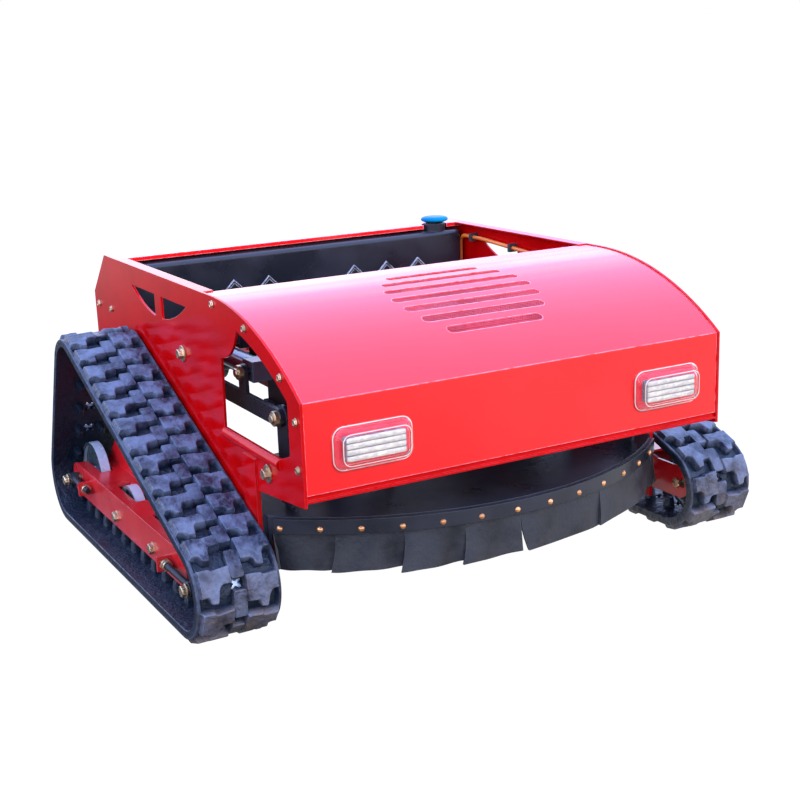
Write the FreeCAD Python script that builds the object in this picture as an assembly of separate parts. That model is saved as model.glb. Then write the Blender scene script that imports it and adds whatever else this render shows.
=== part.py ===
import FreeCAD, Part
import math
import os

# A tracked remote-controlled mower. X is to the right seen from the front, Y runs
# from the front panel back, Z is up from the ground. The model is drawn with the
# front panel at Y = 0 and set down with its overall length centred on the origin.

# Body shell
body_width = 858.0
plate_t = 5.0
sheet_t = 3.0
top_z = 556.0
hood_drop = 121.0
hood_arc_length = 360.0
hood_flat_length = 42.0
panel_bottom_z = 281.0
plate_nose_z = 262.0
rear_y = 1066.0
rear_slope_back = 94.0
rear_slope_drop = 90.0
rear_panel_bottom_z = 330.0
rear_rail_depth = 79.0
rail_lip = 9.0
louvre_rows = 4
plate_flange = 20.0
rim_reveal = 2.0
hood_flange = 20.0

# Openings in the side plates
vent_centre_y = 641.0
vent_half_length = 157.0
vent_top_margin = 40.0
vent_depth = 44.0
vent_post = 36.0
bay_rear_post = 32.0
bay_front_y = 47.0
bay_sill_z = 322.0
bay_rim_inset = 33.0
bay_apex_share = 0.25
bay_step_share = 0.153
sill_bar_r = 10.0
rim_bolt_inset_share = 0.4167
rim_bolt_shares = (0.57, 0.19)
leg_centre_y = 218.0
leg_width = 52.0
leg_t = 3.2
leg_top_z = 297.0
leg_foot_z = 62.0

# Hood slots and the mesh behind them
slot_count = 7
slot_field_r = 146.0
slot_width = 18.0
slot_pitch = 36.0
slot_shift = 5.0
mesh_t = 1.2
mesh_cell = 22.0
mesh_web = 2.4
mesh_margin = 14.0

# Lamps
lamp_length = 148.0
lamp_height = 76.0
lamp_inset = 121.0
lamp_low = 8.0
lamp_proud = 20.0
lamp_base_t = 6.0
lamp_wall = 4.0
lamp_corner = 20.0
lamp_draw_in = 12.0
lamp_bars = 4
bar_share = 0.38

# Cross members and floor
rail_offset = 170.0
rail_size = 40.0
rail_bottom_z = 285.0
beam_t = 4.0
front_beam_depth = 40.0
front_beam_bottom_z = 269.0
rear_beam_setback = 146.0
tank_shelf_rise = 71.0
tray_t = 3.0

# Tracks
track_gap = 4.5
belt_width = 151.0
belt_t = 12.0
tread_h = 14.0
cord_depth = 6.0
link_pitch = 60.0
front_idler_y = 187.0
front_idler_r = 66.0
rear_idler_setback = 169.0
rear_idler_r = 72.0
sprocket_setback = 274.0
sprocket_z = 345.0
sprocket_r = 61.0
sprocket_teeth = 7
right_idler_lead = 30.0
guide_offset = 24.0
guide_w = 13.0
guide_h = 20.0
guide_l = 20.0
hole_l = 24.0
hole_w = 5.0
pad_h = 5.0
pad_w = 22.0
lug_across_shares = (0.19, 0.60, 0.52, 1.0)
lug_along_shares = (-0.37, -0.13, 0.13, 0.37)
wheel_w = 20.0
road_wheel_r = 57.0
road_wheel_shares = (0.35, 0.652)
axle_r = 8.0
hub_share = 2.4
web_share = 0.35
nut_share = 1.7
running_gap = 0.3
fit_gap = 0.1

# Track frames
frame_half_width = 38.0
frame_t = 5.0
frame_top_z = 126.0
frame_bottom_z = 60.0
frame_web_back = 85.0
frame_tail = 51.0
frame_plate_top_z = 262.0
wheel_slot_half = 62.0
take_up = 34.0
bracket_size = 28.0
front_bracket_back = 143.0
rear_bracket_ahead = 82.0
screw_r = 6.0
spacer_r = 17.0

# Drive
motor_r = 50.0
motor_l = 165.0
motor_flange_r = 62.0
motor_flange_t = 10.0
shaft_r = 16.0
motor_tail_share = 0.7

# Cutting deck
deck_side_gap = 6.0
deck_front_y = 17.0
deck_arc_r = 613.0
deck_rear_y = 515.0
deck_top_z = 195.0
deck_plate_t = 5.0
deck_wall_t = 4.0
deck_wall_h = 50.0
flap_t = 5.0
flap_drop = 91.0
flap_count = 8
flap_gap = 3.0
band_t = 4.0
band_h = 26.0
rim_bolts = 13
rim_bolt_margins = (8.9, 45.7)
ahead_angle = 270.0
rim_bolt_r = 6.0
rim_bolt_h = 3.5
button_share = 0.4
spindle_offset = 205.0
spindle_y = 262.0
rotor_r = 120.0
rotor_t = 6.0
blade_z = 128.0
tip_r = 182.0
knife_w = 50.0
knife_t = 5.0
knives_per_rotor = 2
knife_inset_share = 0.4
knife_tip_shares = (0.8, 0.6, 0.3)
knife_pin_r = 6.0
spindle_r = 12.0
spindle_motor_r = 60.0
spindle_motor_h = 56.0

# Deck lift
lift_y = 712.0
lift_z = 345.0
lift_tube_r = 15.0
lift_pin_r = 11.0
arm_gap = 44.0
arm_t = 8.0
arm_h = 32.0
arm_rise = 16.0
arm_front_y = 195.0
arm_crank_y = 480.0
link_w = 44.0
link_t = 6.0
link_pin_r = 7.0
deck_pin_z = 217.0
deck_pin_play = 4.5
actuator_gap = 30.0
actuator_rise = 52.0
actuator_front_y = 345.0
eye_gap = 2.5
eye_r = 13.5
actuator_r = 19.0
actuator_l = 220.0
ram_r = 8.0
head_share = 2.4

# Power unit
engine_y = 580.0
engine_l = 180.0
engine_w = 220.0
engine_base_t = 6.0
crankcase_h = 95.0
shroud_h = 58.0
shroud_r = 105.0
well_share = 0.72
shroud_hub_share = 0.2
spokes_per_turn = 12
cylinder_l = 95.0
cylinder_r = 46.0
fin_t = 3.0
fin_gap = 7.0
fin_reach = 9.0
muffler_x = -262.0
muffler_l = 130.0
muffler_w = 104.0
muffler_h = 52.0
muffler_fins = 5
muffler_rise = 91.0

# Tank, boxes, guard and cable
tank_tuck = 25.0
tank_end_gap = 19.0
tank_w = 78.0
tank_recess = 15.0
neck_inset = 75.0
neck_back = 28.0
neck_r = 25.0
neck_h = 18.0
cap_r = 32.0
cap_h = 17.0
cap_wall = 4.0
cap_grips = 12
cap_round_share = 0.9
grip_share = 0.7
neck_notch_gap = 6.0
box_l = 284.0
controller_l = 284.0
box_side_gap = 39.0
lid_shares = (0.72, 0.78)
box_w = 190.0
box_h = 124.0
box_centre_y = 350.0
box_split = 16.0
guard_y = 700.0
guard_t = 4.0
guard_recess = 39.0
guard_pitch = 78.0
guard_centres = (-204.0, 112.0)
guard_teeth = (2, 3)
guard_rail_rise = 70.0
guard_rail_size = 18.0
cable_r = 4.5
cable_bend = 22.0
cable_off_plate = 11.0
cable_exit = 44.0
cable_rise_ahead = 328.0
cable_rise_depth = 44.0
cable_level_ahead = 76.0
cable_run_depth = 30.0
cable_drop_back = 16.0
cable_turn_up = 29.0
cable_return = 14.0
cable_lead_in = 20.0
terminal_l = 36.0
terminal_h = 16.0
cable_clip_ahead = 203.0

# Fasteners
bolt_r = 4.0
bolt_head_r = 7.0
bolt_head_h = 5.0
bolt_grip = 9.0
big_bolt_r = 9.0
big_head_r = 16.0
big_head_h = 9.0
seam_gap = 0.3
overrun = 4.0

inner_x = body_width / 2 - plate_t
outer_x = body_width / 2
fold_z = top_z - hood_drop
hood_rear_y = hood_arc_length + hood_flat_length
hood_r = (hood_arc_length ** 2 + hood_drop ** 2) / (2 * hood_drop)
slot_centre_y = hood_rear_y / 2 + slot_shift
rear_top_y = rear_y - rear_slope_back
rear_bend_z = top_z - rear_slope_drop
rail_front_y = rear_top_y - rear_rail_depth
vent_top_z = top_z - vent_top_margin
bay_rear_y = hood_arc_length - bay_rear_post
lamp_offset = inner_x - lamp_inset
lamp_z = (fold_z + panel_bottom_z) / 2 - lamp_low
centre_y = (rear_y - lamp_proud) / 2
track_offset = outer_x + track_gap + belt_width / 2
rear_idler_y = rear_y - rear_idler_setback
sprocket_y = rear_y - sprocket_setback
road_wheel_ys = [front_idler_y + (rear_idler_y - front_idler_y) * share for share in road_wheel_shares]
front_idler_z = front_idler_r + belt_t + tread_h
rear_idler_z = rear_idler_r + belt_t + tread_h
road_wheel_z = road_wheel_r + belt_t + tread_h
frame_front_y = front_idler_y + frame_web_back
frame_rear_y = rear_idler_y + frame_tail
front_bracket_y = front_idler_y + front_bracket_back
rear_bracket_y = rear_idler_y - rear_bracket_ahead
rail_top_z = rail_bottom_z + rail_size
floor_z = rail_top_z + tray_t
rear_beam_y = rear_y - rear_beam_setback
tank_shelf_z = rail_top_z + tank_shelf_rise
deck_half_width = inner_x - deck_side_gap
deck_arc_y = deck_front_y + deck_arc_r
arm_offset = inner_x - arm_gap
arm_z = lift_z + arm_rise
actuator_offset = arm_offset - actuator_gap
actuator_z = arm_z + actuator_rise
actuator_rear_y = guard_y - eye_r - eye_gap
muffler_z = rail_top_z + muffler_rise
tank_front_y = rail_front_y - tank_tuck
tank_l = 2 * (inner_x - tank_end_gap)
tank_top_z = top_z - tank_recess
neck_x = inner_x - neck_inset
neck_y = tank_front_y + neck_back
battery_x = actuator_r + box_side_gap - actuator_offset
controller_x = battery_x + box_l + box_split
guard_tip_z = top_z - guard_recess
guard_rail_z = rail_top_z + guard_rail_rise
cable_rise_z = top_z - cable_rise_depth
cable_run_z = top_z - cable_run_depth
cable_rise_y = tank_front_y - cable_rise_ahead
cable_level_y = tank_front_y - cable_level_ahead
parts = {}


def vec(x, y, z):
    return FreeCAD.Vector(x, y, z)


def box(x0, x1, y0, y1, z0, z1):
    return Part.makeBox(x1 - x0, y1 - y0, z1 - z0, vec(x0, y0, z0))


def rod(start, end, r):
    axis = end.sub(start)
    return Part.makeCylinder(r, axis.Length, start, axis)


def rod_x(x0, x1, y, z, r):
    return rod(vec(x0, y, z), vec(x1, y, z), r)


def rod_y(y0, y1, x, z, r):
    return rod(vec(x, y0, z), vec(x, y1, z), r)


def rod_z(z0, z1, x, y, r):
    return rod(vec(x, y, z0), vec(x, y, z1), r)


def hexagon(centre, axis, r, h):
    bolt = Part.makePolygon([vec(r * math.cos(k * math.pi / 3), r * math.sin(k * math.pi / 3), 0)
                             for k in range(7)])
    solid = Part.Face(Part.Wire(bolt)).extrude(vec(0, 0, h))
    solid.Placement = FreeCAD.Placement(centre, FreeCAD.Rotation(vec(0, 0, 1), axis))
    return solid


def outline(points):
    # A closed outline. A point written as (middle, end) draws an arc through middle to end.
    edges = []
    here = points[0]
    for step in list(points[1:]) + [points[0]]:
        if isinstance(step, tuple):
            edges.append(Part.Arc(here, step[0], step[1]).toShape())
            here = step[1]
        elif here.distanceToPoint(step) > running_gap / 100:
            edges.append(Part.LineSegment(here, step).toShape())
            here = step
    return Part.Face(Part.Wire(edges))


def slab_x(points, x0, x1):
    flat = []
    for p in points:
        if isinstance(p[0], tuple):
            flat.append((vec(x0, *p[0]), vec(x0, *p[1])))
        else:
            flat.append(vec(x0, *p))
    return outline(flat).extrude(vec(x1 - x0, 0, 0))


def slab_y(points, y0, y1):
    return outline([vec(x, y0, z) for x, z in points]).extrude(vec(0, y1 - y0, 0))


def slab_z(points, z0, z1):
    flat = []
    for p in points:
        if isinstance(p[0], tuple):
            flat.append((vec(*p[0], z0), vec(*p[1], z0)))
        else:
            flat.append(vec(*p, z0))
    return outline(flat).extrude(vec(0, 0, z1 - z0))


def joined(shapes):
    whole = shapes[0]
    if len(shapes) > 1:
        whole = whole.fuse(shapes[1:])
    return whole.removeSplitter()


def group(shapes):
    return Part.makeCompound(shapes)


def mirrored(shape):
    return shape.mirror(vec(0, 0, 0), vec(1, 0, 0))


def put(name, shape):
    parts[name] = shape


def put_pair(name, build):
    # Built on the left, where X is negative; the right-hand one is its mirror image.
    put("left_" + name, build(0))
    put("right_" + name, mirrored(build(right_idler_lead)))


def hood_z(y, inset=0):
    # Height of the hood line at a setback, or of a line that lies inset below it.
    r = hood_r - inset
    back = min(max(hood_arc_length - y, 0), r)
    return top_z - hood_r + math.sqrt(r * r - back * back)


def hood_foot(inset):
    # Where the inset line meets the inset front face.
    return inset, hood_z(inset, inset)


# Side plates

def plate_outline():
    knee = (hood_arc_length, top_z)
    half = hood_arc_length / 2
    foot_y = leg_centre_y - leg_width / 2
    foot_rear = leg_centre_y + leg_width
    belly_z = frame_plate_top_z - leg_width
    tail_y = rear_y - (rear_top_y - rail_front_y)
    return [(0, plate_nose_z), (0, fold_z), ((half, hood_z(half)), knee), (rear_top_y, top_z),
            (rear_y, rear_bend_z), (rear_y, rear_panel_bottom_z), (tail_y, belly_z + leg_width / 2),
            (sprocket_y - motor_flange_r, belly_z - leg_width / 2),
            (foot_rear + leg_width, belly_z - leg_width / 2),
            (foot_rear, leg_foot_z), (foot_y, leg_foot_z), (foot_y, panel_bottom_z - rail_size),
            (leg_width / 2, plate_nose_z - sheet_t)]


def vent_outline():
    end = (vent_centre_y - vent_half_length, vent_top_z)
    mid = (vent_centre_y, vent_top_z - vent_depth)
    return [(vent_centre_y + vent_half_length, vent_top_z), (mid, end)]


def bay_outline():
    # The fin-shaped opening behind the curved rim, open down to the sill bar.
    shoulder_z = hood_z(bay_front_y, bay_rim_inset)
    apex_y = leg_centre_y + (bay_rear_y - leg_centre_y) * bay_apex_share
    apex_z = hood_z(apex_y, bay_rim_inset)
    mid_y = (bay_front_y + apex_y) / 2
    neck_z = (apex_z + bay_sill_z) / 2 + bay_rim_inset
    step_z = bay_sill_z + (shoulder_z - bay_sill_z) * bay_step_share
    waist = (bay_rear_y - bay_rim_inset * 2, (apex_z + neck_z) / 2)
    return [(bay_front_y, shoulder_z), ((mid_y, hood_z(mid_y, bay_rim_inset)), (apex_y, apex_z)),
            (waist, (bay_rear_y - sill_bar_r / 2, neck_z)), (bay_rear_y, bay_sill_z),
            (bay_front_y + bay_rim_inset + sill_bar_r, bay_sill_z), (bay_front_y, step_z)]


def rim_bolt_places():
    # Setback and height of the bolts that hold the hood, half a rim's width inside its edge.
    inset = bay_rim_inset * rim_bolt_inset_share
    ys = [hood_arc_length - inset] + [hood_arc_length * share for share in rim_bolt_shares]
    places = [(y, hood_z(y, inset)) for y in ys]
    places.append((inset + sheet_t, fold_z - bay_rim_inset))
    places.append((inset + sheet_t, bay_sill_z))
    return places


def rear_bolt_places():
    step = rear_y - rear_top_y
    y = rear_y - step / 3
    z = rear_bend_z - step / 4
    return [(y, z), (y - step + bolt_head_r, z)]


def side_plate(lead):
    plate = slab_x(plate_outline(), -outer_x, -inner_x)
    past = (-outer_x - overrun, -inner_x + overrun)
    vent = slab_x(vent_outline(), *past)
    post = box(*past, vent_centre_y - vent_post / 2, vent_centre_y + vent_post / 2,
               vent_top_z - vent_depth - overrun, vent_top_z + overrun)
    cuts = [vent.cut(post), slab_x(bay_outline(), *past)]
    cuts += [rod_x(*past, y, z, bolt_r + seam_gap) for y, z in rim_bolt_places() + rear_bolt_places()]
    cuts.append(rod_x(*past, lift_y, lift_z, lift_pin_r + fit_gap))
    cuts.append(rod_x(*past, sprocket_y, sprocket_z, shaft_r * 2))
    plate = plate.cut(Part.makeCompound(cuts))
    flange = box(-inner_x - seam_gap, -inner_x + plate_flange, hood_rear_y + seam_gap,
                 rail_front_y - seam_gap, top_z - sheet_t, top_z)
    sill = rod_y(bay_front_y + bay_rim_inset + sill_bar_r, bay_rear_y, -outer_x + plate_t / 2,
                 bay_sill_z - sill_bar_r, sill_bar_r)
    leg = box(-outer_x - leg_t, -outer_x + seam_gap, leg_centre_y - leg_width / 2,
              leg_centre_y + leg_width / 2, leg_foot_z, leg_top_z)
    return joined([plate, flange, sill, leg])


# Hood, mesh and front

def hood_line(inset):
    # The hood's curve at an inset: its front foot and its middle.
    foot_y, foot_z = hood_foot(inset)
    half = hood_arc_length / 2
    return (foot_y, foot_z), (half, hood_z(half, inset))


def hood_band(low, high, half):
    # The curved and flat part of the hood between two insets.
    low_foot, low_middle = hood_line(low)
    high_foot, high_middle = hood_line(high)
    return slab_x([(hood_rear_y, top_z - high), (hood_arc_length, top_z - high), (high_middle, high_foot),
                   low_foot, (low_middle, (hood_arc_length, top_z - low)),
                   (hood_rear_y, top_z - low)], -half, half)


def slot_half(y):
    # Half the length of the slot at a setback: the slots fill a circle.
    return math.sqrt(slot_field_r ** 2 - (y - slot_centre_y) ** 2)


def hood():
    edge = inner_x - seam_gap
    a = rim_reveal
    b = rim_reveal + sheet_t
    a_foot, a_middle = hood_line(a)
    b_foot, b_middle = hood_line(b)
    section = [(hood_rear_y, top_z - a), (hood_arc_length, top_z - a), (a_middle, a_foot),
               (a, panel_bottom_z), (b, panel_bottom_z), b_foot, (b_middle, (hood_arc_length, top_z - b)),
               (hood_rear_y - sheet_t, top_z - b), (hood_rear_y - sheet_t, top_z - b - hood_flange),
               (hood_rear_y, top_z - b - hood_flange)]
    sheet = slab_x(section, -edge, edge)
    c = b + hood_flange
    c_foot, c_middle = hood_line(c)
    web = [(hood_arc_length, top_z - b), (b_middle, b_foot), (b, bay_sill_z - hood_flange),
           (c, bay_sill_z - hood_flange), c_foot, (c_middle, (hood_arc_length, top_z - c))]
    webs = [slab_x(web, -edge, -edge + sheet_t), slab_x(web, edge - sheet_t, edge)]
    whole = joined([sheet] + webs)
    cuts = []
    for k in range(slot_count):
        y = slot_centre_y + (k - (slot_count - 1) / 2) * slot_pitch
        half_run = slot_half(y) - slot_width / 2
        z0 = hood_z(y, b) - slot_width - hood_flange
        z1 = top_z + overrun
        cuts.append(box(-half_run, half_run, y - slot_width / 2, y + slot_width / 2, z0, z1))
        cuts += [rod_z(z0, z1, x, y, slot_width / 2) for x in (-half_run, half_run)]
    for y, z in rim_bolt_places():
        cuts += [rod_x(-edge - overrun, -edge + sheet_t + overrun, y, z, bolt_r + seam_gap),
                 rod_x(edge - sheet_t - overrun, edge + overrun, y, z, bolt_r + seam_gap)]
    return whole.cut(cuts)


def hood_mesh():
    # A perforated sheet that lies under the slots and follows the curve.
    run = slot_pitch * (slot_count - 1) + slot_width + mesh_margin * 2
    y0 = slot_centre_y - run / 2
    y1 = slot_centre_y + run / 2
    mid = (y0 + y1) / 2
    low = rim_reveal + sheet_t + seam_gap
    half = slot_field_r + mesh_margin
    sheet = hood_band(low + mesh_t, low, half).common(box(-half, half, y0, y1, fold_z - hood_flange, top_z))
    across = int(2 * half / mesh_cell)
    along = int(run / mesh_cell)
    holes = []
    reach = (mesh_cell - mesh_web) / 2
    for i in range(across):
        for j in range(along):
            x = (i - (across - 1) / 2) * mesh_cell
            y = mid + (j - (along - 1) / 2) * mesh_cell
            diamond = [(x - reach, y), (x, y - reach), (x + reach, y), (x, y + reach)]
            holes.append(slab_z(diamond, fold_z - hood_flange, top_z))
    return sheet.cut(holes)


def front_beam():
    # An angle across the nose, behind and just under the front panel.
    y0 = rim_reveal + sheet_t + seam_gap
    edge = inner_x - seam_gap
    wall = box(-edge, edge, y0, y0 + beam_t, front_beam_bottom_z, rail_top_z)
    shelf = box(-edge, edge, 0, front_beam_depth, front_beam_bottom_z, front_beam_bottom_z + beam_t)
    whole = joined([wall, shelf])
    clear = hood_flange + sheet_t
    notch = [box(s * edge - clear, s * edge + clear, y0 - overrun, y0 + hood_flange + overrun,
                 bay_sill_z - hood_flange - seam_gap, rail_top_z + overrun) for s in (-1, 1)]
    pads = [rod_y(y0 - overrun, y0 + beam_t + overrun, s * lamp_offset, lamp_z, bolt_r) for s in (-1, 1)]
    return whole.cut(notch + pads)


def lamp_ring(inset, y):
    # A rounded rectangle round the lamp's middle at one depth, drawn in from the housing's foot.
    half = lamp_length / 2 - inset
    rise = lamp_height / 2 - inset
    r = lamp_corner - inset / 2
    k = r * (1 - math.sqrt(0.5))
    x, z = -lamp_offset, lamp_z
    edges = []
    corners = [(1, 1), (-1, 1), (-1, -1), (1, -1)]
    for n, (i, j) in enumerate(corners):
        enter = vec(x + i * half, y, z + j * (rise - r))
        leave = vec(x + i * (half - r), y, z + j * rise)
        if n % 2:
            enter, leave = leave, enter
        middle = vec(x + i * (half - k), y, z + j * (rise - k))
        edges.append(Part.Arc(enter, middle, leave).toShape())
        a, b = corners[(n + 1) % 4]
        if n % 2:
            after = vec(x + a * half, y, z + b * (rise - r))
        else:
            after = vec(x + a * (half - r), y, z + b * rise)
        edges.append(Part.LineSegment(leave, after).toShape())
    return Part.Wire(edges)


def lamp_block(inset, y_foot, y_front, draw):
    return Part.makeLoft([lamp_ring(inset, y_foot), lamp_ring(inset + draw, y_front)], True, True)


def lamp_lens(lead):
    face = rim_reveal - seam_gap
    depth = lamp_proud + face
    whole = lamp_block(0, face, -lamp_proud, lamp_draw_in)
    wall_draw = lamp_draw_in * (depth - lamp_wall) / depth
    return whole.cut(lamp_block(lamp_wall, face, -lamp_proud + lamp_wall, wall_draw))


def lamp_reflector(lead):
    face = rim_reveal - seam_gap
    gap = lamp_wall + seam_gap
    depth = lamp_proud + face
    base_draw = lamp_draw_in * lamp_base_t / depth
    base = lamp_block(gap, face, face - lamp_base_t, base_draw + seam_gap)
    height = lamp_height - 2 * (gap + lamp_draw_in)
    reach = lamp_length / 2 - gap - lamp_draw_in - lamp_wall
    pitch = height / lamp_bars
    bars = []
    for k in range(lamp_bars):
        z = lamp_z + (k - (lamp_bars - 1) / 2) * pitch
        bars.append(box(-lamp_offset - reach, -lamp_offset + reach, -lamp_proud + gap + seam_gap,
                        face - lamp_base_t + seam_gap, z - pitch * bar_share, z + pitch * bar_share))
    return joined([base] + bars)


# Rear panel and inner members

def rear_panel():
    edge = inner_x - seam_gap
    t = sheet_t
    slope = (rear_y - rear_top_y) / (top_z - rear_bend_z)
    tuck = t * (math.sqrt(1 + slope * slope) - slope)
    bend = t * (math.sqrt(1 + slope * slope) - 1) / slope
    section = [(rail_front_y, top_z - rail_lip), (rail_front_y, top_z), (rear_top_y, top_z),
               (rear_y, rear_bend_z), (rear_y, rear_panel_bottom_z), (rear_y - t, rear_panel_bottom_z),
               (rear_y - t, rear_bend_z - bend), (rear_top_y - tuck, top_z - t),
               (rail_front_y + t, top_z - t),
               (rail_front_y + t, top_z - rail_lip)]
    sheet = slab_x(section, -edge, edge)
    notch = rod_z(top_z - rail_lip - overrun, top_z + overrun, neck_x, neck_y, neck_r + neck_notch_gap)
    cuts = [notch]
    gap = (rear_bend_z - rear_panel_bottom_z) / (louvre_rows + 2)
    for k in range(louvre_rows):
        z = rear_panel_bottom_z + gap * (k + 1)
        cuts.append(box(-body_width / 4, body_width / 4, rear_y - t - overrun, rear_y + overrun,
                        z, z + gap / 3))
    return sheet.cut(cuts)


def chassis_rails():
    y0 = rim_reveal + sheet_t + seam_gap + beam_t
    y1 = rear_beam_y - rail_size / 2
    rails = []
    for s in (-1, 1):
        x = s * rail_offset
        half = rail_size / 2
        tube = box(x - half, x + half, y0, y1, rail_bottom_z, rail_top_z)
        bore = box(x - half + sheet_t, x + half - sheet_t, y0 - overrun, y1 + overrun,
                   rail_bottom_z + sheet_t, rail_top_z - sheet_t)
        rails.append(tube.cut(bore))
    return group(rails)


def rear_beam():
    half = rail_size / 2
    tube = box(-inner_x, inner_x, rear_beam_y - half, rear_beam_y + half, rail_bottom_z, rail_top_z)
    bore = box(-inner_x - overrun, inner_x + overrun,
               rear_beam_y - half + sheet_t, rear_beam_y + half - sheet_t,
               rail_bottom_z + sheet_t, rail_top_z - sheet_t)
    return tube.cut(bore)


def tank_shelf():
    y1 = tank_front_y + tank_w
    return box(-inner_x, inner_x, tank_front_y, y1, tank_shelf_z, tank_shelf_z + beam_t)


def battery_tray():
    margin = box_split / 2
    return box(battery_x - margin, controller_x + controller_l + margin,
               box_centre_y - box_w / 2 - beam_t, box_centre_y + box_w / 2 + beam_t,
               rail_top_z, floor_z)


def ribbed_box(x0, x1):
    y0 = box_centre_y - box_w / 2
    y1 = box_centre_y + box_w / 2
    body = box(x0, x1, y0, y1, floor_z, floor_z + box_h)
    lid = box(x0 - beam_t, x1 + beam_t, y0 - beam_t, y1 + beam_t, floor_z + box_h * lid_shares[0],
              floor_z + box_h * lid_shares[1])
    return joined([body, lid])


def battery_pack():
    return ribbed_box(battery_x, battery_x + box_l)


def controller():
    base = ribbed_box(controller_x, controller_x + controller_l)
    fins = []
    pitch = fin_gap * 3
    for k in range(int(controller_l / pitch)):
        x = controller_x + pitch * (k + 1 / 2)
        fins.append(box(x, x + fin_t, box_centre_y - box_w / 2 + fin_gap, box_centre_y + box_w / 2 - fin_gap,
                        floor_z + box_h - seam_gap, floor_z + box_h + fin_reach))
    return joined([base] + fins)


# Track loop: three wheels in the Y-Z plane, walked with the inside on the left

def loop_wheels(lead, grow):
    return [(front_idler_y - lead, front_idler_z, front_idler_r + grow),
            (rear_idler_y - lead, rear_idler_z, rear_idler_r + grow),
            (sprocket_y, sprocket_z, sprocket_r + grow)]


def tangent(first, second):
    # The outer tangent of two wheels: its two ends and the outward normal's angle.
    dy = second[0] - first[0]
    dz = second[1] - first[1]
    span = math.hypot(dy, dz)
    lean = math.asin((first[2] - second[2]) / span)
    angle = math.atan2(-dy, dz) + lean
    ny = math.cos(angle)
    nz = math.sin(angle)
    return ((first[0] + first[2] * ny, first[1] + first[2] * nz),
            (second[0] + second[2] * ny, second[1] + second[2] * nz), angle)


def loop_face(lead, grow, x):
    wheels = loop_wheels(lead, grow)
    runs = [tangent(wheels[k], wheels[(k + 1) % 3]) for k in range(3)]
    edges = []
    for k in range(3):
        start, end, angle = runs[k]
        after = runs[(k + 1) % 3]
        hub = wheels[(k + 1) % 3]
        turn = (after[2] - angle) % (2 * math.pi)
        mid = angle + turn / 2
        middle = (hub[0] + hub[2] * math.cos(mid), hub[1] + hub[2] * math.sin(mid))
        edges.append(Part.LineSegment(vec(x, *start), vec(x, *end)).toShape())
        edges.append(Part.Arc(vec(x, *end), vec(x, *middle), vec(x, *after[0])).toShape())
    return Part.Face(Part.Wire(edges))


def loop_stations(lead):
    # Frames along the belt, two to a link: where the link begins and its middle.
    # Each holds the place on the inner surface, the outward normal and the pitch.
    cord = belt_t - cord_depth
    wheels = loop_wheels(lead, cord)
    runs = [tangent(wheels[k], wheels[(k + 1) % 3]) for k in range(3)]
    pieces = []
    for k in range(3):
        start, end, angle = runs[k]
        after = runs[(k + 1) % 3]
        hub = wheels[(k + 1) % 3]
        pieces.append(("run", math.dist(start, end), start, end, angle))
        turn = (after[2] - angle) % (2 * math.pi)
        pieces.append(("arc", turn * hub[2], hub, angle, turn))
    total = sum(p[1] for p in pieces)
    count = round(total / link_pitch)
    stations = []
    for n in range(2 * count):
        s = n * total / count / 2
        for piece in pieces:
            if s <= piece[1]:
                break
            s -= piece[1]
        share = s / piece[1]
        if piece[0] == "run":
            y = piece[2][0] + (piece[3][0] - piece[2][0]) * share
            z = piece[2][1] + (piece[3][1] - piece[2][1]) * share
            angle = piece[4]
        else:
            angle = piece[3] + piece[4] * share
            y = piece[2][0] + piece[2][2] * math.cos(angle)
            z = piece[2][1] + piece[2][2] * math.sin(angle)
        ny = math.cos(angle)
        nz = math.sin(angle)
        stations.append((y - cord * ny, z - cord * nz, ny, nz, total / count))
    return stations


def on_belt(station, points, low, high):
    # A block on one link. Points are (across, along); low and high are heights off the inner surface.
    y, z, ny, nz, pitch = station
    base = [vec(-track_offset + a, y + low * ny - b * nz, z + low * nz + b * ny) for a, b in points]
    return outline(base).extrude(vec(0, (high - low) * ny, (high - low) * nz))


def tread_block(side, pitch):
    # One stepped lug: an inner and an outer block, half a step apart along the belt.
    half = belt_width / 2
    a = [share * half * side for share in lug_across_shares]
    b = [share * pitch for share in lug_along_shares]
    return [(a[0], b[0]), (a[1], b[0]), (a[1], b[1]), (a[3], b[1]), (a[3], b[3]), (a[2], b[3]),
            (a[2], b[2]), (a[0], b[2])]


def cross_hole(station, angle):
    half = hole_l / 2
    c = math.cos(angle)
    s = math.sin(angle)
    w = hole_w / 2
    points = [(half * c - w * s, half * s + w * c), (-half * c - w * s, -half * s + w * c),
              (-half * c + w * s, -half * s - w * c), (half * c + w * s, half * s - w * c)]
    return on_belt(station, points, -overrun, belt_t + overrun)


def link_slab(ring, begin, end):
    # The part of the carcass between two seams.
    inner = -overrun
    outer = belt_t * 2
    corners = [(begin, inner), (end, inner), (end, outer), (begin, outer)]
    wedge = [vec(-track_offset - belt_width / 2, y + h * ny, z + h * nz)
             for (y, z, ny, nz, pitch), h in corners]
    return ring.common(outline(wedge)).extrude(vec(belt_width, 0, 0))


def half_pad(seam, side):
    gap = (hole_l + hole_w) / 2
    reach = side * (seam[4] / 2 - gap)
    points = [(-pad_w / 2, 0), (pad_w / 2, 0), (pad_w / 2, reach), (-pad_w / 2, reach)]
    return on_belt(seam, points, belt_t - belt_t / 3, belt_t + pad_h)


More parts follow.
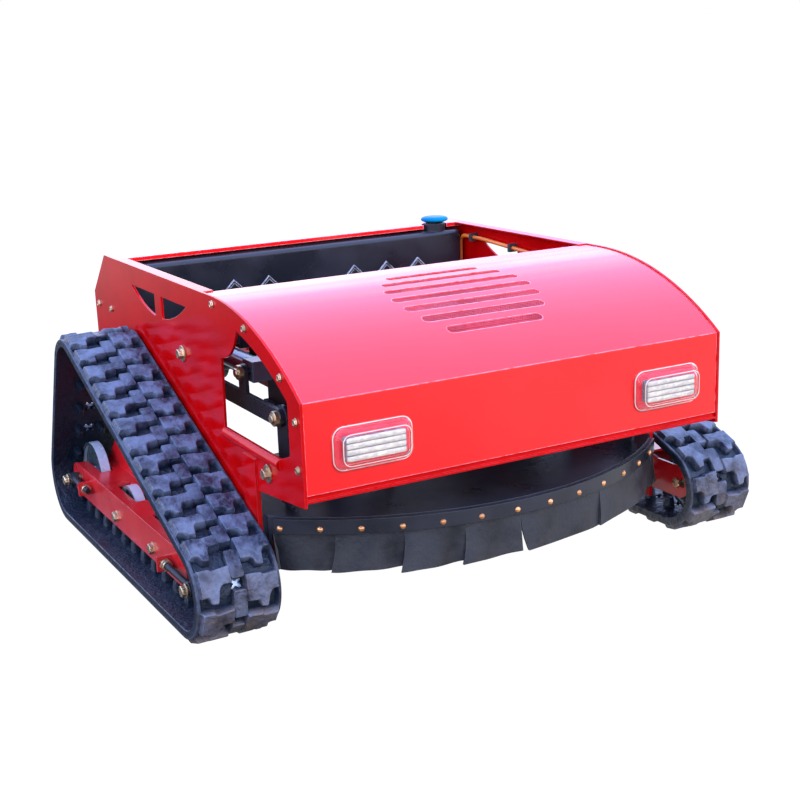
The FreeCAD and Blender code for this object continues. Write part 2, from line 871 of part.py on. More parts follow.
def link(ring, begin, middle, end):
    # One link of the belt: carcass, two stepped lugs, two guide lugs, half a pad at each seam,
    # a cross-shaped hole.
    sink = belt_t / 3
    blocks = [half_pad(begin, 1), half_pad(end, -1)]
    for side in (-1, 1):
        blocks.append(on_belt(middle, tread_block(side, middle[4]), belt_t - sink, belt_t + tread_h))
        a0 = side * guide_offset - guide_w / 2
        a1 = side * guide_offset + guide_w / 2
        foot = [(a0, -guide_l / 2), (a1, -guide_l / 2), (a1, guide_l / 2), (a0, guide_l / 2)]
        blocks.append(on_belt(middle, foot, -guide_h, sink))
    holes = [cross_hole(middle, math.pi / 4), cross_hole(middle, -math.pi / 4)]
    return link_slab(ring, begin, end).fuse(blocks).cut(holes)


def track_belt(lead):
    # The belt's links meet at flat seams. What would reach under the ground on the curves is cut level.
    x0 = -track_offset - belt_width / 2
    ring = loop_face(lead, belt_t, x0).cut(loop_face(lead, 0, x0))
    stations = loop_stations(lead)
    ground = box(x0 - overrun, x0 + belt_width + overrun, 0, rear_y, -wheel_w, 0)
    links = []
    for n in range(0, len(stations), 2):
        one = link(ring, stations[n], stations[n + 1], stations[(n + 2) % len(stations)])
        links.append(one.cut(ground) if one.BoundBox.ZMin < 0 else one)
    return group(links)


def drive_sprocket(lead):
    tip = sprocket_r - running_gap * 2
    root = tip - tread_h
    half = wheel_w / 2
    x = -track_offset
    disc = rod_x(x - half, x + half, sprocket_y, sprocket_z, root)
    teeth = []
    for k in range(sprocket_teeth):
        angle = 2 * math.pi * k / sprocket_teeth + math.pi / sprocket_teeth
        reach = tip - wheel_w / 4
        y = sprocket_y + reach * math.cos(angle)
        z = sprocket_z + reach * math.sin(angle)
        teeth.append(rod_x(x - half, x + half, y, z, wheel_w / 4))
        arm = [(-wheel_w / 4, 0), (wheel_w / 4, 0), (wheel_w / 4, reach), (-wheel_w / 4, reach)]
        tooth = [(sprocket_y + u * -math.sin(angle) + v * math.cos(angle),
                  sprocket_z + u * math.cos(angle) + v * math.sin(angle)) for u, v in arm]
        teeth.append(slab_x(tooth, x - half, x + half))
    hub = rod_x(x - half * 2, x + half * 2, sprocket_y, sprocket_z, shaft_r * 2 - seam_gap)
    shaft = rod_x(x - half * 2 - tread_h / 3, -inner_x + motor_flange_t + motor_l / 2,
                  sprocket_y, sprocket_z, shaft_r)
    return joined([disc] + teeth + [hub, shaft])


def terminal_centre():
    # Middle of the terminal box on top of the right-hand gear motor.
    x = inner_x - motor_flange_t - terminal_l - box_split / 2
    return x, sprocket_y, sprocket_z + motor_r + terminal_h / 2


def gear_motor(lead):
    x0 = -inner_x
    flange = rod_x(x0, x0 + motor_flange_t, sprocket_y, sprocket_z, motor_flange_r)
    body = rod_x(x0 + motor_flange_t - seam_gap, x0 + motor_flange_t + motor_l,
                 sprocket_y, sprocket_z, motor_r)
    tail = rod_x(x0 + motor_flange_t + motor_l - seam_gap, x0 + motor_flange_t + motor_l + motor_flange_t,
                 sprocket_y, sprocket_z, motor_r * motor_tail_share)
    bore = rod_x(x0 - overrun, x0 + motor_flange_t + motor_l / 2 + overrun, sprocket_y, sprocket_z,
                 shaft_r + fit_gap)
    x, y, z = terminal_centre()
    half = terminal_l / 2
    terminal = box(-x - half, -x + half, y - half, y + half, z - terminal_h, z + terminal_h / 2)
    return joined([flange, body, tail, terminal]).cut(bore)


def spoked_wheel(y, z, r):
    # A narrow steel wheel: rim, dished web with a lip on each face, long hub.
    x = -track_offset
    half = wheel_w / 2
    tread = r - running_gap
    whole = rod_x(x - half, x + half, y, z, tread)
    hollow = tread - tread_h / 2
    hub_r = axle_r * hub_share
    for side in (-1, 1):
        ring = rod_x(x + side * half * web_share, x + side * (half + overrun), y, z, hollow)
        ring = ring.cut(rod_x(x + side * half * web_share, x + side * (half + overrun), y, z, hub_r))
        whole = whole.cut(ring)
    hub_half = frame_half_width - frame_t - running_gap
    hub = rod_x(x - hub_half, x + hub_half, y, z, hub_r)
    bore = rod_x(x - hub_half - overrun, x + hub_half + overrun, y, z, axle_r + fit_gap)
    return joined([whole, hub]).cut(bore)


def front_idler(lead):
    return spoked_wheel(front_idler_y - lead, front_idler_z, front_idler_r)


def rear_idler(lead):
    return spoked_wheel(rear_idler_y - lead, rear_idler_z, rear_idler_r)


def road_wheel(index):
    return lambda lead: spoked_wheel(road_wheel_ys[index], road_wheel_z, road_wheel_r)


# Track frames

def outer_flange(lead):
    # Long side plate with a sloping nose, a slotted tip and a round tail.
    nose = front_idler_y - lead
    tail_r = (frame_top_z - frame_bottom_z) / 2
    slot_low = front_idler_z - axle_r - seam_gap
    slot_high = front_idler_z + axle_r + seam_gap
    inner_end = nose + take_up * 2
    tail = frame_rear_y - lead
    return [(inner_end, slot_low), (nose - axle_r, slot_low), (nose - axle_r, frame_bottom_z),
            (tail - tail_r, frame_bottom_z), ((tail, frame_bottom_z + tail_r), (tail - tail_r, frame_top_z)),
            (frame_front_y, frame_top_z), (nose + take_up + axle_r, slot_high), (inner_end, slot_high)]


def inner_plate(lead):
    # The tall plate on the chassis side, which rises between the runs of the belt.
    nose = front_idler_y - lead
    end_r = (frame_top_z - frame_bottom_z) / 2
    tail = frame_rear_y - lead
    return [(nose, frame_bottom_z), (tail - end_r, frame_bottom_z),
            ((tail, frame_bottom_z + end_r), (tail - end_r, frame_top_z)),
            (sprocket_y + motor_r, frame_top_z + end_r * 2), (sprocket_y - end_r, frame_plate_top_z),
            (sprocket_y - end_r * 7, frame_plate_top_z),
            (front_bracket_y + end_r * 4, frame_top_z + end_r * 2),
            (nose + end_r * 2, frame_top_z), (nose, frame_top_z),
            ((nose - end_r, frame_bottom_z + end_r), (nose, frame_bottom_z))]


def frame_spacers():
    end_r = (frame_top_z - frame_bottom_z) / 2
    return [(leg_centre_y + leg_width / 3, frame_bottom_z + end_r, outer_x + leg_t),
            (sprocket_y - end_r * 6, frame_plate_top_z - end_r, outer_x),
            (sprocket_y - end_r * 2, frame_plate_top_z - end_r, outer_x)]


def axle_places(lead):
    return [(front_idler_y - lead, front_idler_z), (rear_idler_y - lead, rear_idler_z)] + [
        (y, road_wheel_z) for y in road_wheel_ys]


def screw_x():
    return -track_offset - frame_half_width - bracket_size / 2


def track_frame(lead):
    x0 = -track_offset - frame_half_width
    x1 = -track_offset + frame_half_width
    outer = slab_x(outer_flange(lead), x0, x0 + frame_t)
    inner = slab_x(inner_plate(lead), x1 - frame_t, x1)
    tail_r = (frame_top_z - frame_bottom_z) / 2
    web = box(x0, x1, frame_front_y, frame_rear_y - lead - tail_r, frame_top_z - frame_t, frame_top_z)
    cuts = []
    slot = wheel_w / 2 + overrun
    for y in road_wheel_ys:
        cuts.append(box(-track_offset - slot, -track_offset + slot, y - wheel_slot_half, y + wheel_slot_half,
                        frame_bottom_z, frame_top_z + overrun))
    rear = rear_idler_y - lead
    reach = rear_idler_r + fin_gap
    cuts.append(box(-track_offset - slot, -track_offset + slot, rear - reach, frame_rear_y + overrun,
                    frame_bottom_z, frame_top_z + overrun))
    for y, z in axle_places(lead)[2:]:
        cuts.append(rod_x(x0 - overrun, x1 + overrun, y, z, axle_r + fit_gap))
    slot_half = axle_r + seam_gap
    for y, z in axle_places(lead)[:2]:
        cuts.append(box(x0 - overrun, x1 + overrun, y - take_up / 2, y + take_up / 2,
                        z - slot_half, z + slot_half))
    whole = joined([outer, inner, web]).cut(cuts)
    plates = []
    for y, z in ((front_bracket_y - lead, front_idler_z), (rear_bracket_y - lead, rear_idler_z)):
        plate = box(x0 - bracket_size, x0 + seam_gap, y - frame_t / 2, y + frame_t / 2,
                    z - bracket_size / 2, z + bracket_size / 2)
        plates.append(plate.cut(rod_y(y - overrun * 2, y + overrun * 2, screw_x(), z, screw_r + seam_gap)))
    tubes = []
    for y, z, reach in frame_spacers():
        tubes.append(rod_x(x1 - seam_gap, -reach, y, z, spacer_r))
    return joined([whole] + plates + tubes)


def tensioner(lead, axle_y, bracket_y, z):
    # A screw from the bracket to an eye block on the idler's axle, with two nuts.
    x = screw_x()
    block = bracket_size / 2 - seam_gap
    toward = 1 if bracket_y > axle_y else -1
    eye = box(x - block, x + block, axle_y - block, axle_y + block, z - block, z + block)
    end = bracket_y + toward * (bracket_size - screw_r)
    shaft = rod_y(min(axle_y, end), max(axle_y, end), x, z, screw_r)
    bore = rod_x(x - bracket_size, x + bracket_size, axle_y, z, axle_r + fit_gap)
    nuts = [hexagon(vec(x, bracket_y + side * (frame_t / 2 + seam_gap), z), vec(0, side, 0),
                    screw_r * nut_share, screw_r) for side in (-1, 1)]
    return joined([eye, shaft] + nuts).cut(bore)


def tensioners():
    whole = []
    for lead, turn in ((0, lambda s: s), (right_idler_lead, mirrored)):
        whole.append(turn(tensioner(lead, front_idler_y - lead, front_bracket_y - lead, front_idler_z)))
        whole.append(turn(tensioner(lead, rear_idler_y - lead, rear_bracket_y - lead, rear_idler_z)))
    return group(whole)


def axle(y, z, outer_reach):
    x0 = -track_offset - frame_half_width
    x1 = -track_offset + frame_half_width
    head = hexagon(vec(x0 - outer_reach - seam_gap, y, z), vec(-1, 0, 0), axle_r * nut_share, axle_r)
    nut = hexagon(vec(x1 + seam_gap, y, z), vec(1, 0, 0), axle_r * nut_share, axle_r)
    shank = rod_x(x0 - outer_reach - seam_gap, x1 + seam_gap, y, z, axle_r)
    return joined([head, shank, nut])


def wheel_axles():
    whole = []
    for lead, turn in ((0, lambda s: s), (right_idler_lead, mirrored)):
        places = axle_places(lead)
        whole += [turn(axle(y, z, bracket_size)) for y, z in places[:2]]
        whole += [turn(axle(y, z, 0)) for y, z in places[2:]]
    return group(whole)


# Cutting deck

def deck_outline(inset):
    r = deck_arc_r - inset
    half = deck_half_width - inset
    corner_y = deck_arc_y - math.sqrt(r * r - half * half)
    return [(-half, deck_rear_y - inset), (-half, corner_y), ((0, deck_arc_y - r), (half, corner_y)),
            (half, deck_rear_y - inset)]


def arc_sheet(r0, r1, first, last, z0, z1):
    # A curved strip about the deck's arc centre, from angle first to last in degrees.
    def at(r, angle):
        return (r * math.cos(math.radians(angle)), deck_arc_y + r * math.sin(math.radians(angle)))
    mid = (first + last) / 2
    return slab_z([at(r0, first), (at(r0, mid), at(r0, last)), at(r1, last), (at(r1, mid), at(r1, first))],
                  z0, z1)


def arc_ends():
    half = math.degrees(math.asin((deck_half_width - deck_wall_t) / (deck_arc_r + flap_t + band_t)))
    return ahead_angle - half, ahead_angle + half


def deck_shell():
    top = slab_z(deck_outline(0), deck_top_z - deck_plate_t, deck_top_z)
    wall = slab_z(deck_outline(0), deck_top_z - deck_wall_h, deck_top_z - deck_plate_t / 2)
    wall = wall.cut(slab_z(deck_outline(deck_wall_t), deck_top_z - deck_wall_h - overrun, deck_top_z))
    shoes = []
    for s in (-1, 1):
        side = sorted((s * (deck_half_width - seam_gap), s * (inner_x - running_gap)))
        shoes.append(box(*side, leg_centre_y - leg_width / 2, leg_centre_y + leg_width / 2,
                         deck_top_z - deck_wall_h, deck_top_z))
    lugs = []
    x1 = -arm_offset + arm_t / 2 + link_t + seam_gap * 2
    for turn in (lambda s: s, mirrored):
        lug = box(x1, x1 + link_t, arm_front_y - link_w / 2, arm_front_y + link_w / 2,
                  deck_top_z - seam_gap, deck_pin_z + link_pin_r * 2)
        half = deck_pin_play + link_pin_r + seam_gap
        slot = joined([box(x1 - overrun, x1 + link_t + overrun, arm_front_y - deck_pin_play,
                           arm_front_y + deck_pin_play, deck_pin_z - half + deck_pin_play,
                           deck_pin_z + half - deck_pin_play)]
                      + [rod_x(x1 - overrun, x1 + link_t + overrun, arm_front_y + e * deck_pin_play,
                               deck_pin_z, link_pin_r + seam_gap) for e in (-1, 1)])
        lugs.append(turn(lug.cut(slot)))
    whole = joined([top, wall] + shoes + lugs)
    bores = [rod_z(deck_top_z - deck_plate_t - overrun, deck_top_z + overrun, s * spindle_offset, spindle_y,
                   spindle_r * 2) for s in (-1, 1)]
    return whole.cut(bores)


def deck_band():
    first, last = arc_ends()
    r = deck_arc_r + flap_t + seam_gap
    z1 = deck_top_z - rim_reveal
    return arc_sheet(r, r + band_t, first, last, z1 - band_h, z1)


def deck_flaps():
    # Rubber flaps hung between the wall and the band, side by side with a small gap.
    first, last = arc_ends()
    step = (last - first) / flap_count
    gap = math.degrees(flap_gap / deck_arc_r)
    z1 = deck_top_z - rim_reveal
    r = deck_arc_r + seam_gap / 2
    return group([arc_sheet(r, r + flap_t, first + k * step + gap / 2, first + (k + 1) * step - gap / 2,
                            z1 - flap_drop, z1) for k in range(flap_count)])


def deck_bolts():
    z = deck_top_z - rim_reveal - band_h / 2 - bolt_r
    r = deck_arc_r + flap_t + band_t + seam_gap
    sunk = rim_bolt_r * button_share
    bolts = []
    start_at, end_at = arc_ends()
    start_at += math.degrees(rim_bolt_margins[0] / deck_arc_r)
    end_at -= math.degrees(rim_bolt_margins[1] / deck_arc_r)
    for k in range(rim_bolts):
        angle = math.radians(start_at + (end_at - start_at) * k / (rim_bolts - 1))
        out = vec(math.cos(angle), math.sin(angle), 0)
        start = vec(0, deck_arc_y, z).add(vec(out.x * r, out.y * r, 0))
        head = Part.makeCylinder(rim_bolt_r, rim_bolt_h, start, out)
        cap = Part.makeSphere(rim_bolt_r, start.sub(vec(out.x * sunk, out.y * sunk, 0)))
        bolts.append(head.common(cap))
    return group(bolts)


def spindle_motor(side):
    x = side * spindle_offset
    base = rod_z(deck_top_z, deck_top_z + beam_t, x, spindle_y, spindle_motor_r + fin_reach)
    body = rod_z(deck_top_z + beam_t - seam_gap, deck_top_z + spindle_motor_h, x, spindle_y, spindle_motor_r)
    housing = rod_z(deck_top_z - deck_plate_t - tread_h, deck_top_z + seam_gap, x, spindle_y,
                    spindle_r * 2 - seam_gap)
    bore = rod_z(deck_top_z - deck_plate_t - tread_h - overrun, deck_top_z + spindle_motor_h / 2,
                 x, spindle_y, spindle_r + fit_gap)
    return joined([base, body, housing]).cut(bore)


def knife_places(side):
    # Where each knife's bolt stands on its disc. The two discs are a quarter turn apart.
    turn = 0 if side < 0 else math.pi / knives_per_rotor
    reach = rotor_r - knife_w * knife_inset_share
    places = []
    for k in range(knives_per_rotor):
        angle = turn + math.pi / 4 + 2 * math.pi * k / knives_per_rotor
        places.append((side * spindle_offset + reach * math.cos(angle),
                       spindle_y + reach * math.sin(angle), angle))
    return places


def rotor(side):
    x = side * spindle_offset
    disc = rod_z(blade_z, blade_z + rotor_t, x, spindle_y, rotor_r)
    shaft = rod_z(blade_z - tread_h, deck_top_z + spindle_motor_h / 2 - overrun, x, spindle_y, spindle_r)
    nut = hexagon(vec(x, spindle_y, blade_z - tread_h), vec(0, 0, 1), spindle_r * nut_share, tread_h)
    pins = [rod_z(blade_z - knife_t - seam_gap * 2 - bolt_head_h, blade_z + overrun, px, py, knife_pin_r)
            for px, py, angle in knife_places(side)]
    heads = [hexagon(vec(px, py, blade_z - knife_t - seam_gap * 2 - bolt_head_h), vec(0, 0, 1),
                     knife_pin_r * nut_share, bolt_head_h) for px, py, angle in knife_places(side)]
    return joined([disc, shaft, nut] + pins + heads)


def knife(side, index):
    px, py, angle = knife_places(side)[index]
    reach = tip_r - (rotor_r - knife_w * knife_inset_share)
    half = knife_w / 2
    root, slant, nose = [half * share for share in knife_tip_shares]
    flat = [(-root, -half), (reach - slant, -half), (reach, nose), (reach - nose, half), (-root, half)]
    c = math.cos(angle)
    s = math.sin(angle)
    turned = [(px + u * c - v * s, py + u * s + v * c) for u, v in flat]
    z1 = blade_z - seam_gap
    blade = slab_z(turned, z1 - knife_t, z1)
    return blade.cut(rod_z(z1 - knife_t - overrun, z1 + overrun, px, py, knife_pin_r + fit_gap))


# Lift linkage

def arm_shape():
    half = arm_h / 2
    nose = arm_front_y - half
    tail_r = lift_tube_r + beam_t
    return [(arm_front_y, arm_z - half), (arm_crank_y, arm_z - half), (lift_y, lift_z - tail_r),
            ((lift_y + tail_r, lift_z), (lift_y, lift_z + tail_r)), (arm_crank_y, arm_z + half),
            (arm_front_y, arm_z + half), ((nose, arm_z), (arm_front_y, arm_z - half))]


def lift_frame():
    reach = inner_x - running_gap
    tube = rod_x(-reach, reach, lift_y, lift_z, lift_tube_r)
    pins = [rod_x(min(s * (reach - seam_gap), s * (outer_x + leg_t)),
                  max(s * (reach - seam_gap), s * (outer_x + leg_t)),
                  lift_y, lift_z, lift_pin_r) for s in (-1, 1)]
    arm = slab_x(arm_shape(), -arm_offset - arm_t / 2, -arm_offset + arm_t / 2)
    stud = rod_x(-arm_offset - arm_t, -arm_offset + arm_t / 2 + link_t + seam_gap,
                 arm_front_y, arm_z, link_pin_r)
    head = hexagon(vec(-arm_offset - arm_t / 2, arm_front_y, arm_z), vec(-1, 0, 0),
                   link_pin_r * nut_share, link_pin_r)
    half = link_w / 3
    ear = [(actuator_front_y - half, arm_z), (actuator_front_y + half, arm_z),
           (actuator_front_y + half, actuator_z), ((actuator_front_y, actuator_z + half),
                                                   (actuator_front_y - half, actuator_z))]
    ear = slab_x(ear, -arm_offset - arm_t / 2, -arm_offset + arm_t / 2)
    pin = rod_x(-arm_offset - arm_t, -actuator_offset, actuator_front_y, actuator_z, link_pin_r)
    pin_head = hexagon(vec(-arm_offset - arm_t / 2, actuator_front_y, actuator_z), vec(-1, 0, 0),
                       link_pin_r * nut_share, arm_t)
    right = [mirrored(shape) for shape in (arm, stud, head)]
    return joined([tube] + pins + [arm, stud, head, ear, pin, pin_head] + right)


def hanger_link(lead):
    x0 = -arm_offset + arm_t / 2 + seam_gap
    x1 = x0 + link_t
    half = link_w / 2
    top = arm_z + half
    low = deck_pin_z - link_pin_r * 2
    shape = [(arm_front_y - half, arm_z), (arm_front_y - half, low), (arm_front_y + half, low),
             (arm_front_y + half, arm_z), ((arm_front_y, top), (arm_front_y - half, arm_z))]
    bar = slab_x(shape, x0, x1)
    bore = rod_x(x0 - overrun, x1 + overrun, arm_front_y, arm_z, link_pin_r + fit_gap)
    pin = rod_x(x0, x1 + link_t + overrun, arm_front_y, deck_pin_z, link_pin_r)
    return joined([bar.cut(bore), pin])


def actuator_body():
    x = -actuator_offset
    y0 = actuator_front_y - actuator_r
    tube = rod_y(y0 + actuator_r, y0 + actuator_l, x, actuator_z, actuator_r)
    head = box(x - actuator_r, x + actuator_r, y0, y0 + actuator_r * head_share, actuator_z - actuator_r,
               actuator_z + actuator_r)
    collar = rod_y(y0 + actuator_l - actuator_r, y0 + actuator_l + overrun,
                   x, actuator_z, actuator_r + sheet_t)
    bore = rod_y(y0 + actuator_r * 3, y0 + actuator_l + actuator_r, x, actuator_z, ram_r + fit_gap)
    cross = rod_x(x - actuator_r - overrun, x + overrun, actuator_front_y, actuator_z, link_pin_r + fit_gap)
    return joined([tube, head, collar]).cut([bore, cross])


def actuator_ram():
    x = -actuator_offset
    y0 = actuator_front_y + actuator_l / 2
    shaft = rod_y(y0, actuator_rear_y - ram_r, x, actuator_z, ram_r)
    eye = rod_x(x - ram_r, x + ram_r, actuator_rear_y, actuator_z, eye_r)
    bore = rod_x(x - ram_r - overrun, x + ram_r + overrun,
                 actuator_rear_y, actuator_z, link_pin_r + seam_gap * 3)
    return joined([shaft, eye]).cut(bore)


# Power unit

def finned(x0, x1, y, z):
    cylinder = rod_x(x0, x1, y, z, cylinder_r)
    fins = []
    count = int((x1 - x0 - fin_gap) / (fin_t + fin_gap))
    for k in range(count):
        x = x0 + fin_gap + k * (fin_t + fin_gap)
        fins.append(rod_x(x, x + fin_t, y, z, cylinder_r + fin_reach))
    return joined([cylinder] + fins)


def engine():
    y0 = engine_y - engine_l / 2
    y1 = engine_y + engine_l / 2
    half = engine_w / 2
    mount = rail_offset + rail_size / 2
    base = box(-mount, mount, y0 - overrun, y1 + overrun, rail_top_z, rail_top_z + engine_base_t)
    z0 = rail_top_z + engine_base_t
    case = box(-half, half, y0, y1, z0 - seam_gap, z0 + crankcase_h)
    z = z0 + crankcase_h / 2 + fin_reach
    left = finned(-half - cylinder_l, -half, engine_y, z)
    right = mirrored(left)
    sump = rod_z(rail_bottom_z, rail_top_z + seam_gap, 0, engine_y, shroud_r * well_share)
    return joined([base, case, left, right, sump])


def engine_shroud():
    z0 = rail_top_z + engine_base_t + crankcase_h
    drum = rod_z(z0, z0 + shroud_h, 0, engine_y, shroud_r)
    well = rod_z(z0 + shroud_h - fin_reach, z0 + shroud_h + overrun, 0, engine_y, shroud_r * well_share)
    whole = drum.cut(well)
    spokes = []
    for k in range(spokes_per_turn):
        spoke = box(shroud_r * shroud_hub_share / 2, shroud_r * well_share + fin_t / 2, -fin_t / 2, fin_t / 2,
                    z0 + shroud_h - fin_reach - seam_gap, z0 + shroud_h - fin_t)
        spoke.rotate(vec(0, 0, 0), vec(0, 0, 1), k * 360 / spokes_per_turn)
        spoke.translate(vec(0, engine_y, 0))
        spokes.append(spoke)
    hub = rod_z(z0 + shroud_h - fin_reach - seam_gap, z0 + shroud_h - fin_t,
                0, engine_y, shroud_r * shroud_hub_share)
    return joined([whole, hub] + spokes)


def muffler():
    x0 = muffler_x - muffler_w / 2
    x1 = muffler_x + muffler_w / 2 - fin_reach
    y0 = engine_y - muffler_l / 2
    y1 = engine_y + muffler_l / 2
    z0 = muffler_z
    z1 = z0 + muffler_h
    body = box(x0, x1, y0, y1, z0, z1)
    fins = []
    for k in range(muffler_fins):
        z = z0 + muffler_h * (k + 1 / 2) / muffler_fins
        fins.append(box(x0 - fin_reach, x0 + seam_gap, y0 + fin_gap, y1 - fin_gap, z, z + fin_t))
    stem_z = rail_top_z + engine_base_t + crankcase_h / 2 + fin_reach
    stem_x = (x0 + x1) / 2 + muffler_w / 8
    port_x = -engine_w / 2 - cylinder_l - seam_gap
    stem = rod_z(stem_z, z0 + seam_gap, stem_x, engine_y, cylinder_r / 3)
    elbow = Part.makeSphere(cylinder_r / 3, vec(stem_x, engine_y, stem_z))
    port = rod_x(stem_x, port_x, engine_y, stem_z, cylinder_r / 3)
    return joined([body, stem, elbow, port] + fins)


# Tank, cap, guard and cable

def fuel_tank():
    z0 = tank_shelf_z + beam_t
    half = tank_l / 2
    body = box(-half, half, tank_front_y, tank_front_y + tank_w, z0, tank_top_z)
    body = body.makeFillet(fin_reach, body.Edges)
    neck = rod_z(tank_top_z - overrun, tank_top_z + neck_h, neck_x, neck_y, neck_r)
    bore = rod_z(tank_top_z - overrun, tank_top_z + neck_h + overrun, neck_x, neck_y, neck_r - cap_wall)
    return joined([body, neck]).cut(bore)


def filler_cap():
    z0 = top_z + rim_reveal
    whole = rod_z(z0, z0 + cap_h, neck_x, neck_y, cap_r)
    upper_edges = [e for e in whole.Edges if e.BoundBox.ZMin > z0 + cap_h / 2]
    whole = whole.makeFillet(cap_wall * cap_round_share, upper_edges)
    cup = rod_z(z0 - overrun, tank_top_z + neck_h + running_gap, neck_x, neck_y, neck_r + running_gap)
    grips = []
    reach = cap_r + cap_wall / 3
    for k in range(cap_grips):
        angle = 2 * math.pi * k / cap_grips
        grips.append(rod_z(z0 - overrun, z0 + cap_h * grip_share, neck_x + reach * math.cos(angle),
                           neck_y + reach * math.sin(angle), cap_wall * 2 / 3))
    return whole.cut([cup] + grips)


def guard():
    # Two upright plates with pointed tops and diamond holes on one cross rail.
    y1 = guard_y + guard_t
    rail = box(-inner_x, inner_x, y1, y1 + guard_rail_size, guard_rail_z, guard_rail_z + guard_rail_size)
    pieces = [rail]
    half = guard_pitch / 2
    for centre, teeth in zip(guard_centres, guard_teeth):
        x0 = centre - teeth * half
        top = [(x0, guard_rail_z), (x0, guard_tip_z - half)]
        for k in range(teeth):
            top += [(x0 + (2 * k + 1) * half, guard_tip_z), (x0 + (2 * k + 2) * half, guard_tip_z - half)]
        top.append((centre + teeth * half, guard_rail_z))
        plate = slab_y(top, guard_y, y1 + seam_gap)
        bar = guard_t * 2
        holes = []
        for k in range(teeth):
            x = x0 + (2 * k + 1) * half
            z = guard_tip_z - half
            r = half - bar
            diamond = [(x - r, z), (x, z - r), (x + r, z), (x, z + r)]
            holes.append(slab_y(diamond, guard_y - overrun, y1 + overrun))
        pieces.append(plate.cut(holes))
    x = -actuator_offset
    cheek = ram_r + running_gap
    for s in (-1, 1):
        side = sorted((x + s * cheek, x + s * (cheek + guard_t)))
        pieces.append(box(*side, actuator_rear_y - eye_r, y1 + seam_gap, actuator_z - eye_r,
                          actuator_z + eye_r))
    pieces.append(rod_x(x - cheek - guard_t, x + cheek + guard_t, actuator_rear_y, actuator_z, link_pin_r))
    return joined(pieces)


def cable_route():
    # From the controller's side up to the plate, back along it, down beside the tank
    # to the motor's terminal box.
    start_x = controller_x + controller_l + beam_t + seam_gap
    start_y = box_centre_y + box_w / 4
    start_z = floor_z + box_h / 2
    run_x = inner_x - cable_off_plate
    drop_y = tank_front_y + cable_drop_back
    end_x, end_y, end_z = terminal_centre()
    end_y += terminal_l / 2 + seam_gap
    return [vec(start_x, start_y, start_z), vec(start_x + cable_exit, start_y, start_z),
            vec(run_x, cable_rise_y, cable_rise_z), vec(run_x, cable_level_y, cable_run_z),
            vec(run_x, drop_y, cable_run_z),
            vec(run_x, drop_y, tank_shelf_z + cable_turn_up),
            vec(run_x, tank_front_y - cable_return, tank_shelf_z + cable_return),
            vec(end_x, end_y + cable_lead_in, end_z),
            vec(end_x, end_y, end_z)]


def cable(r):
    # Straight runs joined by bends of one radius.
    points = cable_route()
    here = points[0]
    pieces = []
    for k in range(1, len(points) - 1):
        back = points[k - 1].sub(points[k]).normalize()
        ahead = points[k + 1].sub(points[k]).normalize()
        half = back.getAngle(ahead) / 2
        trim = cable_bend / math.tan(half)
        enter = points[k].add(vec(*back).multiply(trim))
        leave = points[k].add(vec(*ahead).multiply(trim))
        centre = points[k].add(back.add(ahead).normalize().multiply(cable_bend / math.sin(half)))
        disc = Part.Face(Part.Wire(Part.makeCircle(r, enter, back)))
        axis = enter.sub(centre).cross(leave.sub(centre))
        pieces.append(rod(here, enter, r))
        pieces.append(disc.revolve(centre, axis, 180 - math.degrees(2 * half)))
        here = leave
    pieces.append(rod(here, points[-1], r))
    return pieces[0].fuse(pieces[1:])


def cable_fittings():
    # Clips on the right-hand plate's inner face.
    pieces = []
    channel = cable(cable_r + seam_gap)
    x = inner_x - cable_off_plate
    rise = (cable_run_z - cable_rise_z) / (cable_level_y - cable_rise_y)
    for y in (tank_front_y - cable_clip_ahead, cable_level_y + terminal_l):
        z = cable_rise_z + rise * (min(y, cable_level_y) - cable_rise_y)
        block = box(x - cable_r * 2, inner_x, y - cable_r, y + cable_r, z - cable_r * 2, z + cable_r * 2)
        pieces.append(block.cut(channel))
    return group(pieces)


# Body fasteners

def body_bolts():
    bolts = []
    for y, z in rim_bolt_places() + rear_bolt_places():
        head = hexagon(vec(-outer_x, y, z), vec(-1, 0, 0), bolt_head_r, bolt_head_h)
        shank = rod_x(-outer_x - seam_gap, -outer_x + bolt_grip + plate_t, y, z, bolt_r)
        bolts.append(joined([head, shank]))
    for y, z in ((hood_arc_length + vent_half_length, (fold_z + rear_panel_bottom_z) / 2 + rail_size),
                 (leg_centre_y - leg_width - leg_width / 2, panel_bottom_z + bolt_r)):
        washer = rod_x(-outer_x - sheet_t, -outer_x, y, z, big_head_r)
        head = hexagon(vec(-outer_x - sheet_t, y, z), vec(-1, 0, 0), big_bolt_r * nut_share, big_head_h)
        bolts.append(joined([washer, head]))
    return group(bolts + [mirrored(b) for b in bolts])


